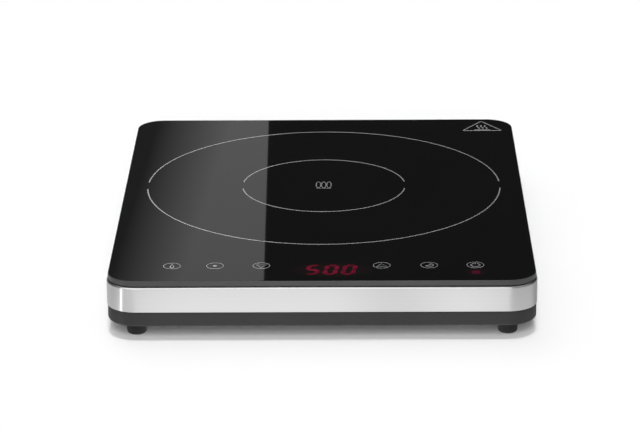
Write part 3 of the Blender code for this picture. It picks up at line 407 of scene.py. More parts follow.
def polished_glass():
    material, tree, shader = blank_material("black glass-ceramic", IOR=1.50, Emission_Strength=1.0)
    place = object_place(tree)
    smudge = grouped(tree, SMUDGES, Patch_Scale=26.0, Coverage=0.42)["Mask"]
    fine = grouped(tree, TEXTURE, Grain_Scale=900.0, Broad_Scale=18.0)
    drive_colour(tree, shader, fine["Broad"], (0.0030, 0.0030, 0.0032), (0.0048, 0.0048, 0.0050))
    drive_roughness(tree, shader, smudge, 0.022, 0.075)
    glows = [glow_mask(tree, place, spot) for spot in (DISPLAY_GLOW, LAMP_GLOW)]
    total = math_node(tree, "ADD", *glows)
    tree.links.new(blend(tree, total, (0, 0, 0), (1.0, 0.18, 0.22)), shader.inputs["Emission Color"])
    return material


FINISH["black_glass"] = polished_glass()
FINISH["ground_glass"] = moulded("ground glass edge", (0.030, 0.030, 0.031), (0.048, 0.048, 0.049),
                                 (0.28, 0.40), grain=2600.0, depth=0.000006)
print("glass:", FINISH["black_glass"].name, "and", FINISH["ground_glass"].name)

# %% [markdown]
# ### Printed and lit marks
#
# The marks are enamel, printed on the glass and fired: a pale grey that isn't quite even. Their colour is
# also painted lighter on the left of the plate, a painted light where more light falls on them. The digits
# and the lamp are small light-emitting dies behind dark glass, so their light is uneven and a deep red.

# %% Make the enamel and the lights
PAINTED_LIGHT_FROM, PAINTED_LIGHT_TO = -0.050, -0.026  # painted light: a lighter colour left of the first place, the usual grey right of the second


def enamel():
    material, tree, shader = blank_material("printed enamel", Coat_Weight=1.0, Coat_IOR=2.0,
                                            Coat_Roughness=0.08)
    effect = grouped(tree, TEXTURE, Grain_Scale=1400.0, Broad_Scale=60.0)
    level = span(tree, effect["Grain"], 0.0, 1.0, 0.28, 0.43)
    x = parts_of(tree, object_place(tree))["X"]
    # painted light: the colour is raised on the left of the plate, where more light falls on the print
    painted_light = span(tree, x, PAINTED_LIGHT_FROM, PAINTED_LIGHT_TO, 1.75, 1.0, smooth=True)
    tree.links.new(times(tree, level, painted_light), shader.inputs["Base Color"])
    drive_roughness(tree, shader, effect["Broad"], 0.06, 0.14)
    return material


def lit(name, low, high, scale, spread, middle, reach):
    """Small dies of light behind dark glass: bright dots, a slow change of strength over them, and half the
    light this far before and behind the middle."""
    material, tree, shader = blank_material(name, Emission_Strength=1.0, IOR=1.50)
    place = object_place(tree)
    cells = node(tree, "ShaderNodeTexVoronoi", {"Vector": place, "Scale": scale}).outputs["Distance"]
    dots = span(tree, cells, 0.20, 0.75, 1.0, 0.1)
    slow = noise(tree, place, 240.0, 1.0)
    level = span(tree, slow, 0.35, 0.65, 1.0 - spread, 1.0)
    off = math_node(tree, "ABSOLUTE", minus(tree, parts_of(tree, place)["Y"], middle))
    edge = span(tree, off, reach * 0.62, reach, 1.0, 0.5)
    strength = times(tree, times(tree, dots, level), edge)
    drive_colour(tree, shader, dots, (0.008, 0.001, 0.002), (0.020, 0.002, 0.003))
    drive_roughness(tree, shader, slow, 0.04, 0.12)
    tree.links.new(blend(tree, strength, low, high), shader.inputs["Emission Color"])
    return material


FINISH["enamel"] = enamel()
FINISH["digit_light"] = lit("digit light", (0.030, 0.001, 0.004), (0.300, 0.007, 0.041), 900.0, 0.55,
                            DISPLAY_Y, 0.0085)
FINISH["red_lens"] = lit("lamp light", (0.022, 0.001, 0.006), (0.085, 0.004, 0.020), 900.0, 0.40, LAMP.y,
                         0.0060)

# %% [markdown]
# ## Finer meshes for the outer parts
#
# The CAD parts are made of few flat faces, which would show as facets in a polished edge. The plate, the
# band and the tray all have the same plan, a rectangle with round corners, so one function sweeps a profile
# round that plan. A profile is a list of (inset, height) points, with its round stretches as arcs. A point
# may have a third value, the plan's corner radius there.

# %% Sweep a profile round the plan
CORNER_STEPS = 28


def arc(centre, radius, start, end, steps=6, squash=1.0):
    """Points on an arc. In a profile the angle is 0 towards the inside and 90 upwards."""
    angles = [math.radians(start + (end - start) * i / steps) for i in range(steps + 1)]
    return [(centre[0] + radius * math.cos(a), centre[1] + squash * radius * math.sin(a)) for a in angles]


def plan_loop(width, depth, corner):
    points = []
    for quarter, (side, end) in enumerate(((1, 1), (-1, 1), (-1, -1), (1, -1))):
        for step in range(CORNER_STEPS + 1):
            angle = math.pi / 2 * (quarter + step / CORNER_STEPS)
            x = side * (width / 2 - corner) + corner * math.cos(angle)
            y = end * (depth / 2 - corner) + corner * math.sin(angle)
            points.append((x, y))
    return points


def linked(name, mesh, *materials):
    made = bpy.data.objects.new(name, mesh)
    SCENE.collection.objects.link(made)
    for material in materials:
        mesh.materials.append(material)
    return made


def finished(bm, name):
    """The plain mesh of a bmesh, which isn't used after this."""
    mesh = bpy.data.meshes.new(name)
    bm.to_mesh(mesh)
    bm.free()
    return mesh


def lofted(name, rings, closed):
    """A mesh with faces from ring to ring. It closes on its first ring, or is capped at both ends."""
    bm = bmesh.new()
    rows = [[bm.verts.new(point) for point in ring] for ring in rings]
    pairs = list(zip(rows, rows[1:])) + ([(rows[-1], rows[0])] if closed else [])
    count = len(rows[0])
    for one, two in pairs:
        for i in range(count):
            j = (i + 1) % count
            bm.faces.new((one[i], one[j], two[j], two[i]))
    if not closed:
        bm.faces.new(rows[0])
        bm.faces.new(rows[-1])
    bmesh.ops.recalc_face_normals(bm, faces=bm.faces)
    return finished(bm, name)


def swept(name, width, depth, corner, profile, closed, *materials):
    """A profile that runs round the plan."""
    rings = []
    for inset, height, *own_corner in profile:
        radius = own_corner[0] if own_corner else max(corner - inset, 0.002)
        outline = plan_loop(width - 2 * inset, depth - 2 * inset, radius)
        rings.append([(x, y, height) for x, y in outline])
    return linked(name, lofted(name, rings, closed), *materials)


def shade_round(piece, degrees=32):
    piece.data.shade_smooth()
    piece.data.set_sharp_from_angle(angle=math.radians(degrees))


def put(piece, slot, *replaced):
    """Hangs a finished piece on the body and hides the CAD parts that it stands for. Its slot is not used."""
    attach(piece, BODY)
    if replaced:
        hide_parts(*replaced)
    print(f"{piece.name}: {len(piece.data.polygons)} faces")


# %% [markdown]
# ### The plate
#
# The plate's rim is ground to a small radius at its top and bottom, with a satin side between them. The top
# keeps a narrow flat border inside the radius, which holds the shading of the large face level. Faces whose
# normal isn't upright get the ground finish.

# %% Build the plate
GROUND_RADIUS = 0.0005
BORDER = 0.0010


def build_plate():
    width, depth = GLASS_HIGH.x - GLASS_LOW.x, GLASS_HIGH.y - GLASS_LOW.y
    base, r = GLASS_LOW.z, GROUND_RADIUS
    profile = [(r + BORDER, base), *arc((r, base + r), r, 270, 180), *arc((r, PLATE_TOP - r), r, 180, 90),
               (r + BORDER, PLATE_TOP)]
    plate = swept("black_glass_plate", width, depth, GLASS_CORNER, profile, False, FINISH["black_glass"],
                  FINISH["ground_glass"])
    for face in plate.data.polygons:
        face.material_index = 1 if abs(face.normal.z) < 0.98 else 0
    shade_round(plate, 50)
    put(plate, "black_glass", "glass_plate")


build_plate()

# %% [markdown]
# ### The band
#
# The band is a strip of steel, folded inwards at its top to carry the glass. Its outer top edge is rolled,
# and that rolled edge gives the thin bright line above the brushed face.

# %% Build the band
ROLL = 0.0014
STEEL = 0.0010
RIM = 0.0022
STEP = 0.0012
FLANGE = 0.0080
OPENING_CORNER = 0.0520


def build_band():
    width, depth = BAND_HIGH.x - BAND_LOW.x, BAND_HIGH.y - BAND_LOW.y
    base, top = BAND_LOW.z, BAND_HIGH.z
    hem = STEEL / 2
    profile = [
        *arc((hem, base + hem), hem, 360, 180), *arc((ROLL, top - ROLL), ROLL, 180, 90, 10), (RIM, top),
        (RIM, top - STEP), (FLANGE, top - STEP, OPENING_CORNER), (FLANGE, top - STEP - STEEL, OPENING_CORNER),
        (STEEL, top - STEP - STEEL),
    ]
    band = swept("brushed_band", width, depth, BAND_CORNER, profile, True, FINISH["brushed_steel"])
    shade_round(band, 40)
    put(band, "brushed_steel", "steel_band")


build_band()

# %% [markdown]
# ### Air slots, made with Geometry Nodes
#
# The tray has slots for air: a round field of them under the fan, two rows near the front and a row of
# short ones in the back wall. All are copies of one slot with round ends, at an even pitch. The tree places
# them on a line, and in the round field it shortens each one to the circle's chord. The result cuts the
# tray.

# %% How each tree begins and ends
def geometry_tree(name, **inputs):
    """A Geometry Nodes tree that takes these values, and a mesh and a material besides."""
    sockets = {"Geometry": "Geometry", **{label.replace("_", " "): kind for label, kind in inputs.items()}}
    return new_tree(name, "GeometryNodeTree", {**sockets, "Material": "Material"}, {"Geometry": "Geometry"})


def end_tree(tree, geometry, given, result):
    """Makes the copies real and gives them the material."""
    real = node(tree, "GeometryNodeRealizeInstances", {0: geometry}).outputs[0]
    finish = node(tree, "GeometryNodeSetMaterial", {"Geometry": real, "Material": given["Material"]})
    tree.links.new(finish.outputs[0], result["Geometry"])
    return tree


# %% The slot tree
def slot_tree():
    tree, given, result = geometry_tree("air slots", Count="Int", Pitch="Float", Width="Float",
                                        Length="Float", Circle="Float", Thickness="Float")
    reach = times(tree, minus(tree, given["Count"], 1.0), given["Pitch"])
    start = node(tree, "ShaderNodeCombineXYZ", {"X": times(tree, reach, -0.5)}).outputs[0]
    step = node(tree, "ShaderNodeCombineXYZ", {"X": given["Pitch"]}).outputs[0]
    line = node(tree, "GeometryNodeMeshLine",
                {"Count": given["Count"], "Start Location": start, "Offset": step})
    sketch = node(tree, "GeometryNodeCurvePrimitiveQuadrilateral",
                  {"Width": given["Width"], "Height": given["Length"]})
    radius = times(tree, given["Width"], 0.499)
    rounded = node(tree, "GeometryNodeFilletCurve",
                   {"Curve": sketch.outputs[0], "Radius": radius, "Count": 6}, mode="POLY")
    face = node(tree, "GeometryNodeFillCurve", {"Curve": rounded.outputs[0]}, mode="NGONS")
    solid = node(tree, "GeometryNodeExtrudeMesh",
                 {"Mesh": face.outputs[0], "Offset Scale": given["Thickness"]})
    bottom = node(tree, "GeometryNodeFlipFaces", {"Mesh": face.outputs[0]})
    whole = node(tree, "GeometryNodeJoinGeometry")
    tree.links.new(solid.outputs[0], whole.inputs[0])
    tree.links.new(bottom.outputs[0], whole.inputs[0])
    merged = node(tree, "GeometryNodeMergeByDistance", {"Geometry": whole.outputs[0], "Distance": 0.00001})
    x = parts_of(tree, node(tree, "GeometryNodeInputPosition").outputs[0])["X"]
    square = minus(tree, math_node(tree, "POWER", given["Circle"], 2.0), math_node(tree, "POWER", x, 2.0))
    half = math_node(tree, "SQRT", math_node(tree, "MAXIMUM", square, 0.0))
    share = math_node(tree, "DIVIDE", times(tree, half, 2.0), given["Length"])
    in_circle = math_node(tree, "GREATER_THAN", given["Circle"], 0.0)
    height = math_node(tree, "ADD", times(tree, share, in_circle),
                       minus(tree, 1.0, in_circle))
    scale = node(tree, "ShaderNodeCombineXYZ", {"X": 1.0, "Y": height, "Z": 1.0}).outputs[0]
    copies = node(tree, "GeometryNodeInstanceOnPoints",
                  {"Points": line.outputs[0], "Instance": merged.outputs[0], "Scale": scale})
    return end_tree(tree, copies.outputs[0], given, result)


def evaluated_mesh(piece):
    """The plain mesh that a piece's modifiers make."""
    bpy.context.view_layer.update()
    evaluated = piece.evaluated_get(bpy.context.evaluated_depsgraph_get())
    return bpy.data.meshes.new_from_object(evaluated)


def grown(name, mesh, tree, **inputs):
    """Runs a Geometry Nodes tree on a mesh, and keeps the result as a plain mesh."""
    source = bpy.data.objects.new(name, mesh)
    SCENE.collection.objects.link(source)
    modifier = source.modifiers.new("nodes", "NODES")
    modifier.node_group = tree
    for label, value in inputs.items():
        modifier[socket_id(tree, label.replace("_", " "))] = value
    plain = evaluated_mesh(source)
    bpy.data.objects.remove(source)
    return plain


SLOTS = slot_tree()
print("slot tree nodes:", len(SLOTS.nodes))

# %% [markdown]
# ### The tray
#
# The tray is an open box of plastic: a floor, a skirt with a soft lower edge, and a lip that goes up inside
# the band. It starts as one closed body. Posts are joined to its floor at the places where the frame has
# the screws, and under the corners of the key board's carrier. Then the slots, the holes and the cord's
# notch are cut out.

# %% Build the tray
LEDGE = BAND_LOW.z - 0.00035
TRAY_CORNER = 0.0205
TRAY_WALL = 0.0022
LIP_INSET = 0.0008
LIP_WALL = 0.0020
LIP_HEIGHT = 0.0062
UNDER = 0.0003
SKIRT_EDGE = 0.0016
SLOT_WIDTH, SLOT_PITCH = 0.0030, 0.0065
SLOT_COUNT, REAR_SLOT_COUNT = 9, 14
FRONT_SLOT_LENGTH, REAR_SLOT_LENGTH = 0.0340, 0.0048
FRONT_SLOTS = (0.0750, -0.1058)  # the middle of the right group
FAN_GRILLE_RIM = 0.0040
CUT_START, CUT_THICKNESS = 0.004, 0.012  # the cutters start outside the tray and go right through its wall
CASE_POST, COIL_POST, SMALL_POST = 0.0046, 0.0042, 0.0036  # radii
CASE_HOLE, SCREW_HOLE = 0.0022, 0.0018
SCREW_DEPTH = 0.0080
CARRIER_POSTS = (0.0966, 0.0145)  # how far they stand from the carrier's middle
NOTCH_SIZE = (0.0190, 0.0120, 0.0200)
FORMER_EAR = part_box("coil_former")[1].z - 0.0030  # the underside of the ears that the coil's screws hold


def cutters():
    """The slots' solids, each group moved to its place."""
    fan_low, fan_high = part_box("fan_frame")
    fan = (fan_low + fan_high) / 2
    circle = (fan_high.x - fan_low.x) / 2 - FAN_GRILLE_RIM
    below = TRAY_LOW.z - CUT_START
    upright = Matrix.Rotation(math.pi / 2, 4, "X")
    middle = (TRAY_LOW.z + TRAY_WALL + LEDGE) / 2
    front = dict(Count=SLOT_COUNT, Length=FRONT_SLOT_LENGTH)
    groups = [
        (dict(Count=SLOT_COUNT, Length=2 * circle, Circle=circle), Matrix.Translation((fan.x, fan.y, below))),
        (front, Matrix.Translation((-FRONT_SLOTS[0], FRONT_SLOTS[1], below))),
        (front, Matrix.Translation((*FRONT_SLOTS, below))),
        (dict(Count=REAR_SLOT_COUNT, Length=REAR_SLOT_LENGTH),
         Matrix.Translation((0, TRAY_HIGH.y + CUT_START, middle)) @ upright),
    ]
    made = []
    for i, (sizes, place) in enumerate(groups):
        mesh = grown(f"slots_{i}", bpy.data.meshes.new("points"), SLOTS, Pitch=SLOT_PITCH, Width=SLOT_WIDTH,
                     Thickness=CUT_THICKNESS, Material=FINISH["dark_plastic"], **sizes)
        mesh.transform(place)
        made.append(linked(f"slots_{i}", mesh))
    return made


def rods(name, places):
    """One mesh with an upright cylinder for each (x, y, low, high, radius)."""
    bm = bmesh.new()
    for x, y, low, high, radius in places:
        bmesh.ops.create_cone(bm, cap_ends=True, segments=40, radius1=radius, radius2=radius,
                              depth=high - low, matrix=Matrix.Translation((x, y, (low + high) / 2)))
    return linked(name, finished(bm, name), FINISH["dark_plastic"])


def posts():
    """(x, y, top, radius, hole radius) of each post on the tray's floor. A radius of 0 means no hole."""
    made = []
    for corner in CORNER_NAMES:
        screw = middle_of(f"case_screw_{corner}")
        made.append((screw.x, screw.y, TRAY_HIGH.z, CASE_POST, CASE_HOLE))
    board, frame_low, carrier_low = (
        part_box(part)[0].z - UNDER for part in ("power_board", "fan_frame", "board_carrier"))
    for i in (1, 2, 3):
        screw = middle_of(f"coil_screw_{i}")
        made.append((screw.x, screw.y, FORMER_EAR - UNDER, COIL_POST, SCREW_HOLE))
        screw = middle_of(f"board_screw_{i}")
        made.append((screw.x, screw.y, board, SMALL_POST, SCREW_HOLE))
    fan, carrier = middle_of("fan_frame"), middle_of("control_board")
    across = abs(middle_of("fan_screw_1").x - fan.x)
    for x, y in ((-1, -1), (1, -1), (-1, 1), (1, 1)):
        made.append((fan.x + x * across, fan.y + y * across, frame_low, SMALL_POST, SCREW_HOLE))
        made.append((x * CARRIER_POSTS[0], carrier.y + y * CARRIER_POSTS[1], carrier_low, SMALL_POST, 0.0))
    return made


def notch(name):
    """The opening in the lip for the cord's gland."""
    gland = middle_of("gland_nut")
    bm = bmesh.new()
    bmesh.ops.create_cube(bm, size=1.0)
    bmesh.ops.scale(bm, vec=NOTCH_SIZE, verts=bm.verts)
    bmesh.ops.translate(bm, vec=(gland.x, TRAY_HIGH.y, LEDGE + UNDER + NOTCH_SIZE[2] / 2), verts=bm.verts)
    return linked(name, finished(bm, name), FINISH["dark_plastic"])


def build_tray():
    width, depth = TRAY_HIGH.x - TRAY_LOW.x, TRAY_HIGH.y - TRAY_LOW.y
    base, r = TRAY_LOW.z, SKIRT_EDGE
    inner, lip_top = LIP_INSET + LIP_WALL, LEDGE + LIP_HEIGHT
    profile = [
        (r + BORDER, base), *arc((r, base + r), r, 270, 180), (0.0, LEDGE), (LIP_INSET, LEDGE),
        (LIP_INSET, lip_top), (inner, lip_top), (inner, base + TRAY_WALL),
    ]
    tray = swept("moulded_tray", width, depth, TRAY_CORNER, profile, False, FINISH["dark_plastic"])
    floor = base + TRAY_WALL
    solid = rods("post_bodies", [(x, y, floor - 0.0010, top, radius) for x, y, top, radius, _ in posts()])
    holes = []
    for x, y, top, _, hole in posts():
        if hole:
            start = base - 0.0010 if top == TRAY_HIGH.z else max(floor + 0.0004, top - SCREW_DEPTH)
            holes.append((x, y, start, top + 0.0010, hole))
    tools = [solid, rods("post_holes", holes), notch("gland_notch"), *cutters()]
    for tool in tools:
        change = tray.modifiers.new(tool.name, "BOOLEAN")
        change.object = tool
        change.operation = "UNION" if tool is solid else "DIFFERENCE"
        change.solver = "EXACT"
    cut_mesh = evaluated_mesh(tray)
    tray.modifiers.clear()
    tray.data = cut_mesh
    for tool in tools:
        bpy.data.objects.remove(tool)
    shade_round(tray, 32)
    put(tray, "dark_plastic", "bottom_tray")


build_tray()
print("tray height", round(LEDGE - TRAY_LOW.z, 4))

# %% [markdown]
# ### The feet
#
# The feet are turned shapes: a profile spun about an upright axis. A turned mesh with many sides stays
# round where the CAD part shows flats. Each foot has a recess below for its screw, and a hole through it.

# %% Build the feet
TURNED_SIDES = 64
FOOT_ROUNDING = 0.0022
FOOT_RECESS, FOOT_RECESS_DEPTH = 0.0040, 0.0060
FOOT_HOLE = 0.0022
FOOT_TAPER = 0.0002
FOOT_EDGE = 0.0003


def turned(name, profile, place, material):
    """Spins a closed profile of (radius, height) points about an upright axis."""
    angles = [2 * math.pi * i / TURNED_SIDES for i in range(TURNED_SIDES)]
    rings = [[(radius * math.cos(a), radius * math.sin(a), height) for a in angles]
             for radius, height in profile]
    mesh = lofted(name, rings, True)
    mesh.transform(Matrix.Translation(place))
    piece = linked(name, mesh, material)
    shade_round(piece, 35)
    return piece


def build_foot(corner):
    low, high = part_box(f"foot_{corner}")
    radius, height = (high.x - low.x) / 2, high.z
    r = FOOT_ROUNDING
    profile = [
        (radius - FOOT_EDGE, height), (radius, height - FOOT_EDGE),
        (radius - FOOT_TAPER * 0.5, height * 0.55),
        *arc((radius - FOOT_TAPER - r, r), -r, 180, 90), (FOOT_RECESS + FOOT_EDGE, 0.0),
        (FOOT_RECESS, FOOT_EDGE), (FOOT_RECESS, FOOT_RECESS_DEPTH), (FOOT_HOLE, FOOT_RECESS_DEPTH),
        (FOOT_HOLE, height),
    ]
    foot = turned(f"rubber_foot_{corner}", profile, ((low.x + high.x) / 2, (low.y + high.y) / 2, 0),
                  FINISH["rubber"])
    put(foot, "rubber", f"foot_{corner}")


for corner_name in CORNER_NAMES:
    build_foot(corner_name)

# %% [markdown]
# ## Printed marks, made with Geometry Nodes
#
# Every mark on the plate is a line of even width: the pan rings, the ring round each key, the signs inside
# them, the coil sign in the middle and the hot-surface triangle. So each mark is drawn as a path, a mesh of
# nothing but points and edges, and one tree gives all of them the same flat section.

# %% The stroke tree
def stroke_tree():
    tree, given, result = geometry_tree("printed stroke", Line_Width="Float", Line_Height="Float")
    path = node(tree, "GeometryNodeMeshToCurve", {"Mesh": given["Geometry"]})
    level = node(tree, "GeometryNodeSetCurveNormal", {"Curve": path.outputs[0]}, mode="Z_UP")
    section = node(tree, "GeometryNodeCurvePrimitiveQuadrilateral",
                   {"Width": given["Line Width"], "Height": given["Line Height"]})
    line = node(tree, "GeometryNodeCurveToMesh",
                {"Curve": level.outputs[0], "Profile Curve": section.outputs[0], "Fill Caps": True})
    return end_tree(tree, line.outputs[0], given, result)


STROKES = stroke_tree()


def path_mesh(name, paths):
    """A mesh of points and edges. Each path is (points, closed)."""
    points, edges = [], []
    for path, closed in paths:
        first = len(points)
        points += [(x, y, 0.0) for x, y in path]
        edges += [(first + i, first + i + 1) for i in range(len(path) - 1)]
        if closed:
            edges.append((first + len(path) - 1, first))
    mesh = bpy.data.meshes.new(name)
    mesh.from_pydata(points, edges, [])
    return mesh


def printed(name, paths, width, place):
    mesh = grown(name, path_mesh(name, paths), STROKES, Line_Width=width, Line_Height=PRINT_HEIGHT,
                 Material=FINISH["enamel"])
    mesh.transform(Matrix.Translation((place[0], place[1], PLATE_TOP + PRINT_HEIGHT / 2)))
    heights = [1000 * (v.co.z - PLATE_TOP) for v in mesh.vertices]
    print(f"{name}: from {min(heights):.3f} to {max(heights):.3f} mm above the glass")
    put(linked(name, mesh), "black_glass")


# %% Print the pan rings
ORIGIN = (0.0, 0.0)
RING_RADII = (0.1300, 0.0600)
RING_LINE = 0.00098
RING_GAP = 0.0077  # half of the opening at each side


def ring_paths(radius):
    """Two arcs, with an opening at the left and at the right."""
    opening = math.degrees(math.asin(RING_GAP / radius))
    return [(arc(ORIGIN, radius, opening + turn, 180 - opening + turn, 160), False) for turn in (0, 180)]


for number, ring_radius in enumerate(RING_RADII, 1):
    printed(f"pan_ring_{number}", ring_paths(ring_radius), RING_LINE, ZONE)

# %% [markdown]
# ### The keys' signs
#
# Six touch keys stand in a row. Each has a ring, and in it a plain sign: a flame for the power level, a dot
# for the function key, triangles for less and more, a clock for the timer, and the usual stroke in a broken
# circle for on and off. All of them are drawn from a few points or arcs.

# %% Draw the keys
KEY_RADIUS = 0.0058
KEY_LINE = 0.00051
SIGN_LINE = 0.00074


def closed_ring(radius, centre=ORIGIN, squash=1.0):
    return (arc(centre, radius, 0, 360, 40, squash)[:-1], True)


def triangle_sign(up):
    base, tip = (-0.0025, 0.0034) if up else (0.0018, -0.0038)
    return [([(-0.0035, base), (0.0035, base), (0.0, tip)], True)]


def flame_sign():
    """A drop with a pointed top that bends to one side."""
    bowl = arc((0.0, -0.0022), 0.0013, 160, 380, 16)
    return [([(0.0002, 0.0040), (-0.0004, 0.0022), (-0.0010, 0.0004), *bowl, (0.0009, 0.0006)], True)]


def dot_sign():
    return [closed_ring(0.0004), closed_ring(0.0011)]


def clock_sign():
    return [(arc(ORIGIN, 0.0030, -140, 80, 24, 0.85), False),
            ([(0.0004, 0.0022), (0.0004, 0.0), (-0.0026, -0.0014)], False)]


def power_sign():
    return [(arc(ORIGIN, 0.0032, 112, 428, 30, 0.92), False), ([(0.0, 0.0020), (0.0, 0.0038)], False)]


SIGNS = (flame_sign(), dot_sign(), triangle_sign(False), triangle_sign(True), clock_sign(), power_sign())
for number, (key_x, sign) in enumerate(zip(KEY_PLACES, SIGNS), 1):
    printed(f"key_ring_{number}", [closed_ring(KEY_RADIUS)], KEY_LINE, (key_x, KEY_Y))
    printed(f"key_sign_{number}", sign, SIGN_LINE, (key_x, KEY_Y))

# %% [markdown]
# ### The coil sign and the hot-surface sign
#
# The middle of the zone has the usual sign for induction, three turns of a coil on a line. The rear corner
# has a triangle with rounded corners round three rising waves, which warns of a hot surface.

# %% Draw the two signs
COIL_SIGN_PLACE = (0.0001, 0.0215)
TURN_PITCH = 0.0039
TURN_HALF_WIDTH = TURN_PITCH / 2 - 0.0003
TURN_HEIGHT = 0.0071
COIL_BASE, COIL_BASE_REACH = -TURN_HEIGHT - 0.0010, 0.0054
COIL_LINE, COIL_BASE_LINE = 0.00066, 0.00036
HOT_PLACE = (0.1229, 0.1634)
HOT_HALF_WIDTH = 0.0153
HOT_BOTTOM, HOT_TOP = -0.0102, 0.0142
HOT_ROUNDING, HOT_LINE = 0.0022, 0.0011


def coil_sign():
    squash = TURN_HEIGHT / TURN_HALF_WIDTH
    return [closed_ring(TURN_HALF_WIDTH, (i * TURN_PITCH, 0.0), squash) for i in (-1, 0, 1)]


def rounded_polygon(corners, radius, steps=5):
    """A closed path with each corner replaced by a short curve."""
    points = []
    knots = [Vector(c) for c in corners]
    for i, knot in enumerate(knots):
        before, after = knots[i - 1], knots[(i + 1) % len(knots)]
        start = knot + (before - knot).normalized() * radius
        end = knot + (after - knot).normalized() * radius
        for step in range(steps + 1):
            share = step / steps
            point = start.lerp(knot, share).lerp(knot.lerp(end, share), share)
            points.append((point.x, point.y))
    return (points, True)


def hot_sign():
    corners = ((-HOT_HALF_WIDTH, HOT_BOTTOM), (HOT_HALF_WIDTH, HOT_BOTTOM), (0.0, HOT_TOP))
    outline = rounded_polygon(corners, HOT_ROUNDING)
    waves = []
    for i in (-1, 0, 1):
        rise = [0.0009 * math.sin(t * 2 * math.pi) + 0.0030 * i for t in (k / 12 for k in range(13))]
        waves.append(([(x, -0.0062 + 0.0100 * k / 12) for k, x in enumerate(rise)], False))
    return [outline, *waves, ([(-0.0062, -0.0082), (0.0062, -0.0082)], False)]


coil_base = [(-COIL_BASE_REACH, COIL_BASE), (COIL_BASE_REACH, COIL_BASE)]
printed("coil_sign", coil_sign(), COIL_LINE, COIL_SIGN_PLACE)
printed("coil_sign_base", [(coil_base, False)], COIL_BASE_LINE, COIL_SIGN_PLACE)
printed("hot_surface_sign", hot_sign(), HOT_LINE, HOT_PLACE)

# %% [markdown]
# ## The display
#
# Four places of seven segments lie behind the glass, and the last three are lit. Each segment is a bar with
# pointed ends, and the digits lean a little. A table says which segments a digit lights. The bars are built
# as one mesh within the height of the printed marks.

# %% Build the digits
DIGIT_HEIGHT = 0.0168
DIGIT_WIDTH = 0.0068
DIGIT_PITCH = 0.0124
DIGIT_LEAN = math.tan(math.radians(8))
BAR = 0.0031
LIT_SEGMENTS = {"5": "afgcd", "0": "abcdef"}
DIGITS = [(digit, place * DIGIT_PITCH) for digit, place in zip("500", (-0.5, 0.5, 1.5))]


def segment_ends():
    """Where each segment starts and ends, with the digit's middle at zero."""
    w, h = DIGIT_WIDTH / 2, DIGIT_HEIGHT / 2
    return {"a": ((-w, h), (w, h)), "b": ((w, h), (w, 0)), "c": ((w, 0), (w, -h)), "d": ((w, -h), (-w, -h)),
            "e": ((-w, -h), (-w, 0)), "f": ((-w, 0), (-w, h)), "g": ((-w, 0), (w, 0))}


def bar_outline(start, end):
    """A bar with pointed ends, and a small opening between it and its neighbours."""
    a, b = Vector(start), Vector(end)
    along = (b - a).normalized()
    side = Vector((-along.y, along.x)) * BAR / 2
    a, b = a + along * BAR * 0.06, b - along * BAR * 0.06
    inner_a, inner_b = a + along * BAR / 2, b - along * BAR / 2
    return [a, inner_a - side, inner_b - side, b, inner_b + side, inner_a + side]


def build_display():
    bm = bmesh.new()
    for digit, x in DIGITS:
        for name in LIT_SEGMENTS[digit]:
            outline = bar_outline(*segment_ends()[name])
            face = bm.faces.new(
                [bm.verts.new((x + p.x + p.y * DIGIT_LEAN, DISPLAY_Y + p.y, PLATE_TOP)) for p in outline])
            top = bmesh.ops.extrude_face_region(bm, geom=[face])["geom"]
            raised = [v for v in top if isinstance(v, bmesh.types.BMVert)]
            bmesh.ops.translate(bm, vec=(0, 0, PRINT_HEIGHT / 2), verts=raised)
    bmesh.ops.recalc_face_normals(bm, faces=bm.faces)
    name = "display_digits"
    put(linked(name, finished(bm, name), FINISH["digit_light"]), "red_lens")


build_display()

# %% Build the lamp under the power key
LAMP_SIZE = (0.0056, 0.0064)
LAMP_CORNER = 0.0012


def build_lamp():
    bm = bmesh.new()
    bmesh.ops.create_cube(bm, size=1.0)
    bmesh.ops.scale(bm, vec=(*LAMP_SIZE, PRINT_HEIGHT / 2), verts=bm.verts)
    upright = [e for e in bm.edges if abs(e.verts[0].co.z - e.verts[1].co.z) > PRINT_HEIGHT / 4]
    bmesh.ops.bevel(bm, geom=upright, offset=LAMP_CORNER, segments=4, profile=0.5, affect="EDGES")
    bmesh.ops.translate(bm, vec=(LAMP.x, LAMP.y, PLATE_TOP + PRINT_HEIGHT / 4), verts=bm.verts)
    put(linked("lamp_window", finished(bm, "lamp_window"), FINISH["red_lens"]), "red_lens")


build_lamp()

# %% [markdown]
# ## The winding, made with Geometry Nodes
#
# The coil under the glass is one length of stranded wire, wound flat from the middle outwards. A spiral
# curve with a round section is just that rule. The tree stores how far along and how far round each point
# is, which the copper's strands need.

# %% Build the winding
WINDING_TURNS = 18
WINDING_INNER = 0.0240
WIRE_SHARE = 0.94  # of the pitch


def winding_tree():
    tree, given, result = geometry_tree("flat winding", Turns="Float", Inner_Radius="Float",
                                        Outer_Radius="Float", Wire_Radius="Float")
    spiral = node(tree, "GeometryNodeCurveSpiral", {
        "Resolution": 64, "Rotations": given["Turns"], "Start Radius": given["Inner Radius"],
        "End Radius": given["Outer Radius"], "Height": 0.0})
    length = node(tree, "GeometryNodeSplineParameter").outputs["Length"]
    path = node(tree, "GeometryNodeStoreNamedAttribute",
                {"Geometry": spiral.outputs[0], "Name": "wire_length", "Value": length}, domain="POINT")
    circle = node(tree, "GeometryNodeCurvePrimitiveCircle",
                  {"Resolution": 12, "Radius": given["Wire Radius"]})
    turn = node(tree, "GeometryNodeSplineParameter").outputs["Factor"]
    section = node(tree, "GeometryNodeStoreNamedAttribute",
                   {"Geometry": circle.outputs[0], "Name": "wire_turn", "Value": turn}, domain="POINT")
    tube = node(tree, "GeometryNodeCurveToMesh",
                {"Curve": path.outputs[0], "Profile Curve": section.outputs[0], "Fill Caps": True})
    return end_tree(tree, tube.outputs[0], given, result)


